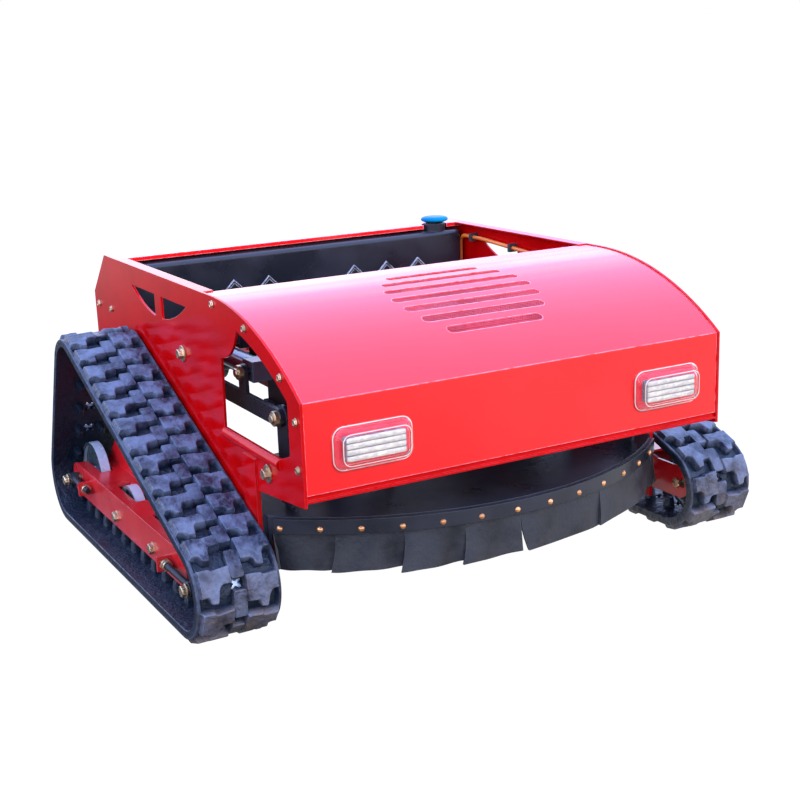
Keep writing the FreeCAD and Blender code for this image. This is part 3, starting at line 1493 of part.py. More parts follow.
def build():
    put_pair("side_plate", side_plate)
    put("hood", hood())
    put("hood_mesh", hood_mesh())
    put("front_beam", front_beam())
    put("rear_panel", rear_panel())
    put("chassis_rails", chassis_rails())
    put("rear_beam", rear_beam())
    put("tank_shelf", tank_shelf())
    put("battery_tray", battery_tray())
    put("battery_pack", battery_pack())
    put("controller", controller())
    put("body_bolts", body_bolts())
    put_pair("lamp_lens", lamp_lens)
    put_pair("lamp_reflector", lamp_reflector)
    put_pair("track_belt", track_belt)
    put_pair("drive_sprocket", drive_sprocket)
    put_pair("gear_motor", gear_motor)
    put_pair("front_idler", front_idler)
    put_pair("rear_idler", rear_idler)
    put_pair("front_road_wheel", road_wheel(0))
    put_pair("rear_road_wheel", road_wheel(1))
    put_pair("track_frame", track_frame)
    put("track_tensioners", tensioners())
    put("wheel_axles", wheel_axles())
    put("deck_shell", deck_shell())
    put("deck_band", deck_band())
    put("deck_flaps", deck_flaps())
    put("deck_bolts", deck_bolts())
    for side, name in ((-1, "left"), (1, "right")):
        put(name + "_spindle_motor", spindle_motor(side))
        put(name + "_blade_rotor", rotor(side))
        for index in range(knives_per_rotor):
            put(name + "_knife_" + "ab"[index], knife(side, index))
    put("lift_frame", lift_frame())
    put_pair("hanger_link", hanger_link)
    put("actuator_body", actuator_body())
    put("actuator_ram", actuator_ram())
    put("engine", engine())
    put("engine_shroud", engine_shroud())
    put("muffler", muffler())
    put("fuel_tank", fuel_tank())
    put("filler_cap", filler_cap())
    put("guard", guard())
    put("orange_cable", cable(cable_r))
    put("cable_clips", cable_fittings())


build()
os.makedirs("parts", exist_ok=True)
for name, shape in parts.items():
    placed = shape.copy()
    placed.translate(vec(0, -centre_y, 0))
    placed.exportStep("parts/" + name + ".step")
print(len(parts), "sub-parts written")
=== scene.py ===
import bpy
import bmesh
import math
import numpy as np
from mathutils import Matrix, Vector


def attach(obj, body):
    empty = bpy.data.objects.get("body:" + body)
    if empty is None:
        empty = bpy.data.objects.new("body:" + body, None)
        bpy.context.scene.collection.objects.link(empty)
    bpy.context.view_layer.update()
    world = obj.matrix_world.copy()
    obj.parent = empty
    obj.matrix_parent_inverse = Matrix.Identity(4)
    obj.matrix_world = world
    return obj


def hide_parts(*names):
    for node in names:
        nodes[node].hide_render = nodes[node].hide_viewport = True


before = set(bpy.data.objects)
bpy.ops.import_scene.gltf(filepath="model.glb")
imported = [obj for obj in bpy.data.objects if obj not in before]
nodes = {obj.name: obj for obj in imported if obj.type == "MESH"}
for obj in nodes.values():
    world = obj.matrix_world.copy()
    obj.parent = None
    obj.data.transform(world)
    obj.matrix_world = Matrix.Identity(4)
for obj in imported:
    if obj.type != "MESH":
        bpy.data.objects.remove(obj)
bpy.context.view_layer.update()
print("frame loaded:", len(nodes), "nodes")

yMid = 0.523    # the front panel's face lies this far in front of the origin


def addNode(tree, kind, values=(), **settings):
    # A shader node with its settings. Each input takes a value or a link from another node's output.
    node = tree.nodes.new("ShaderNode" + kind)
    for key, value in settings.items():
        setattr(node, key, value)
    for key, value in dict(values).items():
        if isinstance(value, bpy.types.NodeSocket):
            tree.links.new(value, node.inputs[key])
        elif node.inputs[key].type == "RGBA":
            node.inputs[key].default_value = (*value, 1)
        else:
            node.inputs[key].default_value = value
    return node


def addMath(tree, operation, a, b=None):
    return addNode(tree, "Math", {0: a} if b is None else {0: a, 1: b}, operation=operation).outputs[0]


def addNoise(tree, vector, scale, detail, rough=0.55):
    values = {"Vector": vector, "Scale": scale, "Detail": detail, "Roughness": rough}
    return addNode(tree, "TexNoise", values).outputs["Fac"]


def addRange(tree, value, low, high, outLow=0.0, outHigh=1.0):
    return addNode(tree, "MapRange", {0: value, 1: low, 2: high, 3: outLow, 4: outHigh}).outputs[0]


def addMix(tree, factor, a, b):
    return addNode(tree, "Mix", {0: factor, "A": a, "B": b}, data_type="RGBA").outputs["Result"]


def linkObject(name, data):
    obj = bpy.data.objects.new(name, data)
    bpy.context.scene.collection.objects.link(obj)
    return obj


viewSettings = {"place": (-1.2685, -1.8666 - yMid, 0.9757), "yaw": 28.617, "pitch": -14.810, "roll": -2.137,
                "lens": 61.02, "sensor": 36.0}


def makeCamera():
    # The camera looks along its yaw and pitch, and rolls about that line.
    yaw, pitch, roll = (math.radians(viewSettings[k]) for k in ("yaw", "pitch", "roll"))
    ahead = Vector((math.sin(yaw) * math.cos(pitch), math.cos(yaw) * math.cos(pitch), math.sin(pitch)))
    right = Vector((math.cos(yaw), -math.sin(yaw), 0))
    up = right.cross(ahead)
    side = right * math.cos(roll) + up * math.sin(roll)
    top = up * math.cos(roll) - right * math.sin(roll)
    data = bpy.data.cameras.new("photoCamera")
    data.sensor_width = viewSettings["sensor"]
    data.lens = viewSettings["lens"]
    camera = linkObject("photoCamera", data)
    turn = Matrix((side, top, -ahead)).transposed().to_4x4()
    turn.translation = Vector(viewSettings["place"])
    camera.matrix_world = turn
    bpy.context.scene.camera = camera


lightSettings = {"zenith": (1.35, 1.85, 3.60), "horizon": (0.95, 1.35, 2.95), "spread": 0.75,
                 "cloud": (2.7, 2.7, 3.0), "cloudHeights": (0.54, 0.30), "cloudPatch": (0.43, 0.54),
                 "cloudFlat": (2.2, 2.2, 14.0), "aim": (0, -0.1, 0.3),
                 "lamps": [("keyPanel", (1.6, -4.4, 3.2), (1.6, 1.2), 168, (1.0, 0.90, 0.78)),
                           ("fillPanel", (-3.4, -2.6, 1.8), (1.6, 1.4), 26, (1.0, 0.95, 0.92))]}


def makeLight():
    # Camera rays see white. Every other ray sees a blue sky that brightens towards its zenith, with flat
    # pale clouds low down: patches of noise, faded in as the height falls.
    world = bpy.data.worlds.new("paleSky")
    bpy.context.scene.world = world
    world.use_nodes = True
    tree = world.node_tree
    tree.nodes.clear()
    coord = addNode(tree, "TexCoord").outputs["Generated"]
    height = addNode(tree, "SeparateXYZ", {0: coord}).outputs["Z"]
    ramp = addNode(tree, "ValToRGB", {0: height})
    stops = ((0.0, lightSettings["horizon"]), (lightSettings["spread"], lightSettings["zenith"]))
    for stop, (place, color) in zip(ramp.color_ramp.elements, stops):
        stop.position = place
        stop.color = (*color, 1)
    flat = addNode(tree, "VectorMath", {0: coord, 1: lightSettings["cloudFlat"]}, operation="MULTIPLY")
    patch = addRange(tree, addNoise(tree, flat.outputs[0], 1.0, 5.0, 0.6), *lightSettings["cloudPatch"])
    low = addRange(tree, height, *lightSettings["cloudHeights"])
    clouds = addMath(tree, "MULTIPLY", patch, low)
    color = addMix(tree, clouds, ramp.outputs["Color"], lightSettings["cloud"])
    sky = addNode(tree, "Background", {"Color": color, "Strength": 1.0})
    white = addNode(tree, "Background", {"Color": (1, 1, 1), "Strength": 1.0})
    seen = addNode(tree, "LightPath").outputs["Is Camera Ray"]
    both = addNode(tree, "MixShader", {0: seen, 1: sky.outputs[0], 2: white.outputs[0]})
    addNode(tree, "OutputWorld", {"Surface": both.outputs[0]})
    for name, place, size, watts, color in lightSettings["lamps"]:
        data = bpy.data.lights.new(name, "AREA")
        data.shape = "RECTANGLE"
        data.size, data.size_y = size
        data.energy = watts
        data.color = color
        lamp = linkObject(name, data)
        lamp.location = place
        aim = Vector(lightSettings["aim"]) - Vector(place)
        lamp.rotation_euler = aim.to_track_quat("-Z", "Y").to_euler()
        lamp.visible_glossy = False


makeCamera()
makeLight()
bpy.context.scene.view_settings.view_transform = "Standard"
print("camera and light made")

effectLook = {"mottle": (0.39, 0.61), "dustScale": 28.0, "dustPatch": (0.33, 0.62), "wearScale": 60.0,
              "wearPatch": (0.30, 0.52), "edge": (0.98, 0.80), "rowStep": 0.866, "roundSamples": 4}


def newGroup(name, inputs, outputs):
    # A node group of plain number sockets. Each material that places it gives all its inputs their values.
    group = bpy.data.node_groups.new(name, "ShaderNodeTree")
    for kind, labels in (("INPUT", inputs), ("OUTPUT", outputs)):
        for label in labels:
            group.interface.new_socket(label, in_out=kind, socket_type="NodeSocketFloat")
    coord = addNode(group, "TexCoord").outputs["Object"]
    return group, group.nodes.new("NodeGroupInput").outputs, group.nodes.new("NodeGroupOutput").inputs, coord


def makeGrainGroup():
    # Fine surface grain: a height for bumps and a slow mottle, both from object coordinates.
    group, given, out, coord = newGroup("surfaceGrain", ["Grain Scale", "Mottle Scale"], ["Height", "Mottle"])
    mottle = addNoise(group, coord, given["Mottle Scale"], 4.0)
    group.links.new(addNoise(group, coord, given["Grain Scale"], 2.0), out["Height"])
    group.links.new(addRange(group, mottle, *effectLook["mottle"]), out["Mottle"])
    return group


def makeDustGroup():
    # Dust in patches that thins out with height above the ground: nearness times patch times amount.
    group, given, out, coord = newGroup("settledDust", ["Amount", "Reach"], ["Mask"])
    height = addNode(group, "SeparateXYZ", {0: coord}).outputs["Z"]
    low = addRange(group, height, given["Reach"], 0.0)
    patch = addRange(group, addNoise(group, coord, effectLook["dustScale"], 6.0, 0.65), *effectLook["dustPatch"])
    mask = addMath(group, "MULTIPLY", addMath(group, "MULTIPLY", low, patch), given["Amount"])
    group.links.new(mask, out["Mask"])
    return group


def makeWearAndHighlightGroup():
    # Worn edges and painted edge highlights: where the rounded normal parts from the flat one, broken up by noise.
    group, given, out, coord = newGroup("edgeWearAndHighlight", ["Width", "Amount"], ["Mask"])
    soft = addNode(group, "Bevel", {"Radius": given["Width"]}, samples=effectLook["roundSamples"])
    flat = addNode(group, "NewGeometry")
    dot = addNode(group, "VectorMath", {0: soft.outputs[0], 1: flat.outputs["Normal"]}, operation="DOT_PRODUCT")
    edge = addRange(group, dot.outputs["Value"], *effectLook["edge"])
    patch = addRange(group, addNoise(group, coord, effectLook["wearScale"], 5.0, 0.6), *effectLook["wearPatch"])
    mask = addMath(group, "MULTIPLY", addMath(group, "MULTIPLY", edge, patch), given["Amount"])
    group.links.new(mask, out["Mask"])
    return group


def makeHoleGroup():
    # Cover is nought inside round holes that stand in rows, every second row moved on by half a pitch.
    group, given, out, coord = newGroup("roundHoles", ["Pitch", "Radius"], ["Cover"])
    split = addNode(group, "SeparateXYZ", {0: coord})
    pitch, step = given["Pitch"], effectLook["rowStep"]
    row = addMath(group, "DIVIDE", split.outputs["Y"], addMath(group, "MULTIPLY", pitch, step))
    whole = addMath(group, "ROUND", row)
    moved = addMath(group, "MULTIPLY", addMath(group, "PINGPONG", whole, 1.0), 0.5)
    column = addMath(group, "ADD", addMath(group, "DIVIDE", split.outputs["X"], pitch), moved)
    across = addMath(group, "SUBTRACT", column, addMath(group, "ROUND", column))
    along = addMath(group, "MULTIPLY", addMath(group, "SUBTRACT", row, whole), step)
    squares = [addMath(group, "MULTIPLY", part, part) for part in (across, along)]
    distance = addMath(group, "MULTIPLY", addMath(group, "SQRT", addMath(group, "ADD", *squares)), pitch)
    group.links.new(addMath(group, "GREATER_THAN", distance, given["Radius"]), out["Cover"])
    return group


holeGroup = makeHoleGroup()
grainGroup = makeGrainGroup()
dustGroup = makeDustGroup()
wearGroup = makeWearAndHighlightGroup()


def newMaterial(name):
    material = bpy.data.materials.new(name)
    material.use_nodes = True
    return material, material.node_tree


def placeGroup(tree, group, values):
    # A node group in a material, its inputs filled in their order.
    return addNode(tree, "Group", dict(enumerate(values)), node_tree=group).outputs


def makeFinish(name, look):
    # One opaque finish: base colour with mottle, worn edges and painted edge highlights, painted shade on sideways
    # faces and in low parts, dust, grain bump, and its own gloss values.
    material, tree = newMaterial(name)
    shader = tree.nodes["Principled BSDF"]
    grain = placeGroup(tree, grainGroup, (look["grain"], look.get("mottle", 9.0)))
    mottle = grain["Mottle"]
    color = addMix(tree, mottle, look["color"], look["second"])
    rough = addRange(tree, mottle, 0.0, 1.0, *look["rough"])
    if "holes" in look:
        tree.links.new(placeGroup(tree, holeGroup, look["holes"])["Cover"], shader.inputs["Alpha"])
    if "sides" in look:    # painted shade on the faces that look left or right
        normal = addNode(tree, "SeparateXYZ", {0: addNode(tree, "TexCoord").outputs["Normal"]})
        across = addRange(tree, addMath(tree, "ABSOLUTE", normal.outputs["X"]), *look["sidesFrom"])
        color = addMix(tree, across, color, look["sides"])
    if "wear" in look:
        color = addMix(tree, placeGroup(tree, wearGroup, look["wear"])["Mask"], color, look["wearColor"])
    if "dust" in look:
        dust = placeGroup(tree, dustGroup, look["dust"])["Mask"]
        color = addMix(tree, dust, color, look.get("dustColor", (0.22, 0.19, 0.16)))
        rough = addMath(tree, "MAXIMUM", rough, addMath(tree, "MULTIPLY", dust, 0.8))
    if "recess" in look:    # painted shade in the low parts of a piece that keeps its rise on its points
        rise = addNode(tree, "Attribute", attribute_name="rise")
        color = addMix(tree, addRange(tree, rise.outputs["Fac"], *look["recessFrom"]), look["recess"], color)
    tree.links.new(color, shader.inputs["Base Color"])
    tree.links.new(rough, shader.inputs["Roughness"])
    strength, distance = look["bump"]
    bump = addNode(tree, "Bump", {"Strength": strength, "Distance": distance, "Height": grain["Height"]})
    if "edge" in look:
        edge = addNode(tree, "Bevel", {"Radius": look["edge"]}, samples=effectLook["roundSamples"])
        tree.links.new(edge.outputs[0], bump.inputs["Normal"])
    tree.links.new(bump.outputs[0], shader.inputs["Normal"])
    for key, label in (("metal", "Metallic"), ("coat", "Coat Weight"), ("coatRough", "Coat Roughness"),
                       ("ior", "IOR"), ("specular", "Specular IOR Level")):
        if key in look:
            shader.inputs[label].default_value = look[key]
    return material


def lookOf(color, second, rough, grain, bump, **more):
    # Two mottled colours, the least and most roughness, the grain's scale, the bump's strength and depth.
    return {"color": color, "second": second, "rough": rough, "grain": grain, "bump": bump, **more}


looks = {
    # its edge colour is a painted highlight: a pale line along the hood's fold and edges
    "hoodPaint": lookOf(
        (0.88, 0.006, 0.006), (0.84, 0.005, 0.005), (0.14, 0.2), 900.0, (0.02, 0.0003), coat=0.3, coatRough=0.05,
        edge=0.0016, wear=(0.003, 1.1), wearColor=(1.0, 0.52, 0.56)),
    # its edge colour is a painted highlight: paler red along the plates' and beams' edges
    "platePaint": lookOf(
        (0.55, 0.001, 0.002), (0.47, 0.001, 0.001), (0.11, 0.16), 900.0, (0.02, 0.0003), specular=0.13, edge=0.0016,
        wear=(0.0014, 0.3), wearColor=(0.9, 0.22, 0.24), dust=(0.05, 0.25)),
    # its edge colour is a painted highlight: paler red along the frames' flange edges
    "framePaint": lookOf(
        (0.66, 0.007, 0.012), (0.56, 0.005, 0.009), (0.18, 0.28), 900.0, (0.04, 0.0004), coat=0.2, coatRough=0.1,
        edge=0.0016, wear=(0.0014, 0.35), wearColor=(0.85, 0.25, 0.28), dust=(0.18, 0.18)),
    "meshPaint": lookOf(
        (0.62, 0.01, 0.022), (0.46, 0.008, 0.016), (0.35, 0.5), 700.0, (0.1, 0.0004), holes=(0.0048, 0.0017)),
    "blackPaint": lookOf(
        (0.009, 0.01, 0.014), (0.015, 0.016, 0.022), (0.26, 0.4), 700.0, (0.1, 0.0004), edge=0.0014,
        wear=(0.0014, 0.35), wearColor=(0.16, 0.15, 0.15), dust=(0.12, 0.3), dustColor=(0.1, 0.085, 0.07)),
    # its recess colour is painted shade in the lugs' low parts; its edge colour is partly rubbed wear and partly a
    # painted highlight along the lugs' edges
    "trackRubber": lookOf(
        (0.014, 0.02, 0.038), (0.104, 0.128, 0.185), (0.34, 0.56), 95.0, (0.9, 0.0034), mottle=30.0,
        wear=(0.0024, 0.8), wearColor=(0.18, 0.21, 0.28), recess=(0.004, 0.01, 0.02), recessFrom=(0.35, 0.95),
        dust=(0.95, 0.17), dustColor=(0.15, 0.105, 0.075)),
    "flapRubber": lookOf(
        (0.003, 0.004, 0.006), (0.017, 0.018, 0.02), (0.4, 0.62), 120.0, (0.45, 0.0016), mottle=15.0,
        wear=(0.002, 0.45), wearColor=(0.12, 0.11, 0.1), dust=(0.22, 0.24), dustColor=(0.1, 0.075, 0.048)),
    # its edge colour is a painted highlight: pale lines along the guard's teeth
    "guardSheet": lookOf(
        (0.009, 0.01, 0.014), (0.015, 0.016, 0.022), (0.2, 0.34), 700.0, (0.06, 0.0004), edge=0.0014,
        wear=(0.004, 1.6), wearColor=(0.62, 0.62, 0.66)),
    # its sides colour is painted shade on the wheels' faces that look left or right
    "zincWheel": lookOf(
        (0.66, 0.78, 0.9), (0.56, 0.68, 0.8), (0.2, 0.3), 600.0, (0.08, 0.0004), mottle=20.0, metal=0.25,
        edge=0.0012, sides=(0.055, 0.08, 0.088), dust=(0.1, 0.12), sidesFrom=(0.6, 0.9)),
    "boltSteel": lookOf(
        (0.8, 0.62, 0.38), (0.5, 0.36, 0.2), (0.2, 0.36), 900.0, (0.12, 0.0003), mottle=60.0, metal=0.9,
        edge=0.0006),
    "copperBolt": lookOf(
        (0.92, 0.42, 0.16), (0.6, 0.26, 0.1), (0.22, 0.38), 900.0, (0.12, 0.0003), mottle=60.0, metal=0.8),
    "bladeSteel": lookOf(
        (0.38, 0.38, 0.39), (0.26, 0.25, 0.25), (0.3, 0.5), 500.0, (0.2, 0.0004), mottle=30.0, metal=1.0,
        edge=0.001, dust=(0.5, 0.2)),
    "blackPlastic": lookOf(
        (0.01, 0.011, 0.015), (0.017, 0.018, 0.024), (0.24, 0.38), 600.0, (0.1, 0.0004), edge=0.003,
        wear=(0.0015, 0.2), wearColor=(0.1, 0.1, 0.11)),
    # its edge colour is a painted highlight: lighter cyan along the cap's edges
    "bluePlastic": lookOf(
        (0.001, 0.2, 0.38), (0.001, 0.14, 0.29), (0.22, 0.32), 700.0, (0.08, 0.0004), ior=1.18, specular=0.2,
        edge=0.001, wear=(0.001, 0.3), wearColor=(0.03, 0.6, 0.8)),
    "castAlloy": lookOf(
        (0.3, 0.31, 0.33), (0.2, 0.21, 0.22), (0.42, 0.6), 260.0, (0.4, 0.0008), mottle=26.0, metal=0.8,
        edge=0.0014, dust=(0.2, 0.4)),
    "boxPlastic": lookOf(
        (0.012, 0.013, 0.017), (0.022, 0.023, 0.029), (0.34, 0.5), 420.0, (0.18, 0.0005), edge=0.002),
    "blackCylinder": lookOf(
        (0.1, 0.11, 0.16), (0.16, 0.17, 0.23), (0.14, 0.24), 700.0, (0.06, 0.0003), metal=0.6, edge=0.004),
    "darkMetal": lookOf(
        (0.014, 0.014, 0.017), (0.028, 0.027, 0.028), (0.32, 0.5), 400.0, (0.22, 0.0005), metal=0.3, edge=0.0012,
        wear=(0.0015, 0.35), wearColor=(0.18, 0.18, 0.18)),
    "chromeRod": lookOf(
        (0.75, 0.76, 0.78), (0.68, 0.69, 0.71), (0.08, 0.15), 900.0, (0.03, 0.0002), metal=1.0),
    "orangeJacket": lookOf(
        (0.85, 0.2, 0.02), (0.75, 0.15, 0.02), (0.3, 0.42), 800.0, (0.1, 0.0003), coat=0.2, coatRough=0.2),
    "clipPlastic": lookOf(
        (0.05, 0.052, 0.055), (0.035, 0.036, 0.04), (0.4, 0.5), 700.0, (0.1, 0.0003), edge=0.001),
    "lampRed": lookOf(
        (0.85, 0.03, 0.05), (0.75, 0.02, 0.03), (0.15, 0.25), 900.0, (0.05, 0.0003), mottle=60.0, coat=0.3,
        coatRough=0.1),
    # this white is also the painted highlight on the lamps' beads
    "ledWhiteAndHighlight": lookOf(
        (0.8, 0.7, 0.54), (0.68, 0.59, 0.46), (0.2, 0.32), 900.0, (0.1, 0.0003), mottle=80.0, coat=0.3,
        coatRough=0.1),
    # its recess colour is painted shade in the grooves between the ribs
    "ribbedWhite": lookOf(
        (0.74, 0.66, 0.5), (0.52, 0.46, 0.36), (0.16, 0.3), 500.0, (0.3, 0.0006), mottle=120.0, coat=0.4,
        coatRough=0.08, recess=(0.2, 0.19, 0.18), recessFrom=(0.1, 0.65)),
}
finishes = {name: makeFinish(name, look) for name, look in looks.items()}


def both(*parts):
    return [side + "_" + part for part in parts for side in ("left", "right")]


nodeFinish = {
    "hoodPaint": ["hood", "rear_panel"],
    "platePaint": [*both("side_plate"), "front_beam", "rear_beam", "chassis_rails"],
    "framePaint": both("track_frame"),
    "meshPaint": ["hood_mesh"],
    "guardSheet": ["guard"],
    "blackPaint": ["deck_shell", "deck_band", "battery_tray", "tank_shelf", "lift_frame",
                   *both("gear_motor", "hanger_link")],
    "trackRubber": both("track_belt"),
    "flapRubber": ["deck_flaps"],
    "zincWheel": both("drive_sprocket", "front_idler", "rear_idler", "front_road_wheel", "rear_road_wheel"),
    "boltSteel": ["body_bolts", "wheel_axles"],
    "copperBolt": ["deck_bolts"],
    "bladeSteel": both("blade_rotor", "knife_a", "knife_b"),
    "blackPlastic": ["fuel_tank"],
    "boxPlastic": ["battery_pack", "controller"],
    "bluePlastic": ["filler_cap"],
    "castAlloy": ["engine", *both("spindle_motor")],
    "blackCylinder": ["actuator_body"],
    "darkMetal": ["muffler", "engine_shroud", "track_tensioners"],
    "chromeRod": ["actuator_ram"],
    "orangeJacket": ["orange_cable"],
    "clipPlastic": ["cable_clips"],
    "ledWhiteAndHighlight": both("lamp_reflector"),
    "clearLens": both("lamp_lens"),
}
clearLook = {"color": (0.98, 0.98, 1.0), "ior": 1.22, "rough": (0.03, 0.048), "grain": 500.0, "mottle": 30.0}


def makeClear(name, look):
    # A clear housing: the light goes through, and the gloss varies a little with the mottle.
    material, tree = newMaterial(name)
    shader = tree.nodes["Principled BSDF"]
    shader.inputs["Base Color"].default_value = (*look["color"], 1)
    shader.inputs["Transmission Weight"].default_value = 1.0
    shader.inputs["IOR"].default_value = look["ior"]
    mottle = placeGroup(tree, grainGroup, (look["grain"], look["mottle"]))["Mottle"]
    tree.links.new(addRange(tree, mottle, 0.0, 1.0, *look["rough"]), shader.inputs["Roughness"])
    return material


def dress(obj, finish):
    obj.data.materials.clear()
    obj.data.materials.append(finishes[finish])


finishes["clearLens"] = makeClear("clearLens", clearLook)
for finish, names in nodeFinish.items():
    for name in names:
        dress(nodes[name], finish)
print("finishes made:", len(finishes))


def addPiece(name, parts, body, finish, stands=(), smooth=35.0):
    # Joins parts, each an array of points and a list of faces, into one mesh that rides on a body and may
    # stand for CAD nodes. Every closed shell in it is turned to face outwards.
    faces, start = [], 0
    for part in parts:
        faces += [[k + start for k in face] for face in part[1]]
        start += len(part[0])
    mesh = bpy.data.meshes.new(name)
    mesh.from_pydata(np.concatenate([part[0] for part in parts]).tolist(), [], faces)
    mesh.validate()
    shells = bmesh.new()
    shells.from_mesh(mesh)
    bmesh.ops.recalc_face_normals(shells, faces=shells.faces)
    shells.to_mesh(mesh)
    shells.free()
    mesh.update()
    mesh.shade_smooth()
    mesh.set_sharp_from_angle(angle=math.radians(smooth))
    obj = linkObject(name, mesh)
    dress(obj, finish)
    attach(obj, body)
    if stands:
        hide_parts(*stands)
    return obj


def keepRise(piece, values):
    # A height from nought to one on each point, for the finish's shade.
    rise = piece.data.attributes.new("rise", "FLOAT", "POINT")
    rise.data.foreach_set("value", np.clip(values, 0, 1))


def gridFaces(rows, cols, start=0, loopRows=False, loopCols=False):
    # Quads of a rows by cols grid of points, wrapped round where asked.
    r = np.arange(rows if loopRows else rows - 1)
    c = np.arange(cols if loopCols else cols - 1)
    a, b = np.meshgrid(r, c, indexing="ij")
    a2, b2 = (a + 1) % rows, (b + 1) % cols
    quads = np.stack([a * cols + b, a2 * cols + b, a2 * cols + b2, a * cols + b2], -1).reshape(-1, 4) + start
    return quads.tolist()


def stackFaces(rings, count, start=0, closeLow=True, closeHigh=True):
    # A stack of rings with count points each, closed by one face at the bottom, the top or both.
    faces = gridFaces(rings, count, start, loopCols=True)
    if closeHigh:
        faces.append(list(range(start + (rings - 1) * count, start + rings * count))[::-1])
    if closeLow:
        faces.append(list(range(start, start + count)))
    return faces


def turnFaces(faces, flip):
    # The same faces, wound the other way where asked, so that their quads split along the same diagonals.
    return [face[::-1] for face in faces] if flip else faces


def closedSheet(front, back, flip=False):
    # A closed sheet: two grids of points and the wall that joins their borders.
    rows, cols = front.shape[:2]
    count = rows * cols
    border = np.concatenate([np.arange(cols), np.arange(1, rows) * cols + cols - 1,
                             (rows - 1) * cols + np.arange(cols - 2, -1, -1), np.arange(rows - 2, 0, -1) * cols])
    ahead = np.roll(border, -1)
    wall = np.stack([ahead, border, border + count, ahead + count], -1).tolist()
    faces = gridFaces(rows, cols) + turnFaces(gridFaces(rows, cols, count), True) + wall
    return np.concatenate([front.reshape(-1, 3), back.reshape(-1, 3)]), turnFaces(faces, flip)


def insetLoop(loop, distance):
    # Moves each corner of a closed outline inwards along the mean of its two edges' normals.
    ahead = np.roll(loop, -1, 0) - loop
    normal = np.stack([-ahead[:, 1], ahead[:, 0]], -1)
    normal /= np.linalg.norm(normal, axis=1, keepdims=True)
    mean = normal + np.roll(normal, 1, 0)
    mean /= np.maximum((mean ** 2).sum(1, keepdims=True) / 2, 0.35)    # a sharp corner moves no further than this
    return loop + mean * distance


trackLook = {"offset": 0.509, "width": 0.151, "thick": 0.009, "lugTop": 0.026, "cord": 0.006, "links": 35,
             "idler": (0.187, 0.066), "rear": (0.897, 0.072), "sprocket": (0.792, 0.345, 0.061), "rightLead": 0.030,
             "phaseShare": -0.27, "arcSteps": 90, "linkSteps": 8, "shoulder": 0.0165, "shoulderWide": 0.005,
             "shoulderEase": 0.0012, "seamHalf": 0.017, "overlap": 0.0005, "cornerShare": 0.3, "armLength": 0.0125,
             "armHalf": 0.0032, "diagonal": 0.7071, "web": 0.0055, "webShare": 0.15, "midShare": 0.5}


def beltLine(lead):
    # The belt's cord line sampled by length: straight tangents between three wheels and arcs round them.
    # Links are counted from where the first straight run begins, moved along by the phase.
    cord, low = trackLook["cord"], trackLook["lugTop"]
    wheels = [(y - lead, radius + low, radius + cord) for y, radius in (trackLook["idler"], trackLook["rear"])]
    y, z, radius = trackLook["sprocket"]
    wheels.append((y, z, radius + cord))
    angles = []
    for k in range(3):
        (y0, z0, r0), (y1, z1, r1) = wheels[k], wheels[(k + 1) % 3]
        angles.append(math.atan2(y0 - y1, z1 - z0) + math.asin((r0 - r1) / math.hypot(y1 - y0, z1 - z0)))
    spots, turns = [], []
    for k in range(3):
        y, z, r = wheels[k]
        before = angles[k - 1]
        sweep = np.linspace(before, before + (angles[k] - before) % (2 * math.pi), trackLook["arcSteps"])
        spots.append(np.stack([y + r * np.cos(sweep), z + r * np.sin(sweep)], -1))
        turns.append(sweep if k == 0 else sweep + 2 * math.pi * round((turns[-1][-1] - sweep[0]) / (2 * math.pi)))
    spot = np.concatenate(spots + [spots[0][:1]])
    turn = np.concatenate(turns + [[turns[0][0] + 2 * math.pi]])
    length = np.concatenate([[0], np.cumsum(np.linalg.norm(np.diff(spot, axis=0), axis=1))])
    start = length[len(spots[0]) - 1] + trackLook["phaseShare"] * length[-1] / trackLook["links"]
    return length, spot, turn, start


def onBelt(line, side, along, across, height):
    # A point of the belt: so far along its line, across from its middle, and above its inner surface.
    length, spot, turn, start = line
    s = np.mod(np.asarray(along, float) + start, length[-1])
    y = np.interp(s, length, spot[:, 0])
    z = np.interp(s, length, spot[:, 1])
    t = np.interp(s, length, turn)
    lift = np.asarray(height, float) - trackLook["cord"]
    x = side * (trackLook["offset"] + np.asarray(across, float)) + 0 * y
    return np.stack([x, y + lift * np.cos(t) - yMid, z + lift * np.sin(t)], -1).reshape(-1, 3)


def onEveryLink(line, side, rings, heights, faces):
    # One link's rings of (across, along) points, each ring at its height, set on all links of the belt.
    links = trackLook["links"]
    along = rings[..., 1] + (np.arange(links) * line[0][-1] / links)[:, None, None]
    across = np.broadcast_to(rings[..., 0], along.shape)
    high = np.broadcast_to(np.asarray(heights, float)[:, None], along.shape)
    every = [[k + n * rings[..., 0].size for k in face] for n in range(links) for face in faces]
    return onBelt(line, side, along, across, high), every, high.reshape(-1)


def rounded(points, radius, steps=3):
    # Rounds the corners of a closed outline with short arcs.
    points = np.asarray(points, float)
    back = np.roll(points, 1, 0) - points
    ahead = np.roll(points, -1, 0) - points
    cut = np.minimum(radius, 0.45 * np.minimum(np.linalg.norm(back, axis=1), np.linalg.norm(ahead, axis=1)))[:, None]
    enter = points + back / np.linalg.norm(back, axis=1, keepdims=True) * cut
    leave = points + ahead / np.linalg.norm(ahead, axis=1, keepdims=True) * cut
    t = np.linspace(0, 1, steps)[None, :, None]
    arcs = (1 - t) ** 2 * enter[:, None] + 2 * t * (1 - t) * points[:, None] + t ** 2 * leave[:, None]
    return arcs.reshape(-1, 2)


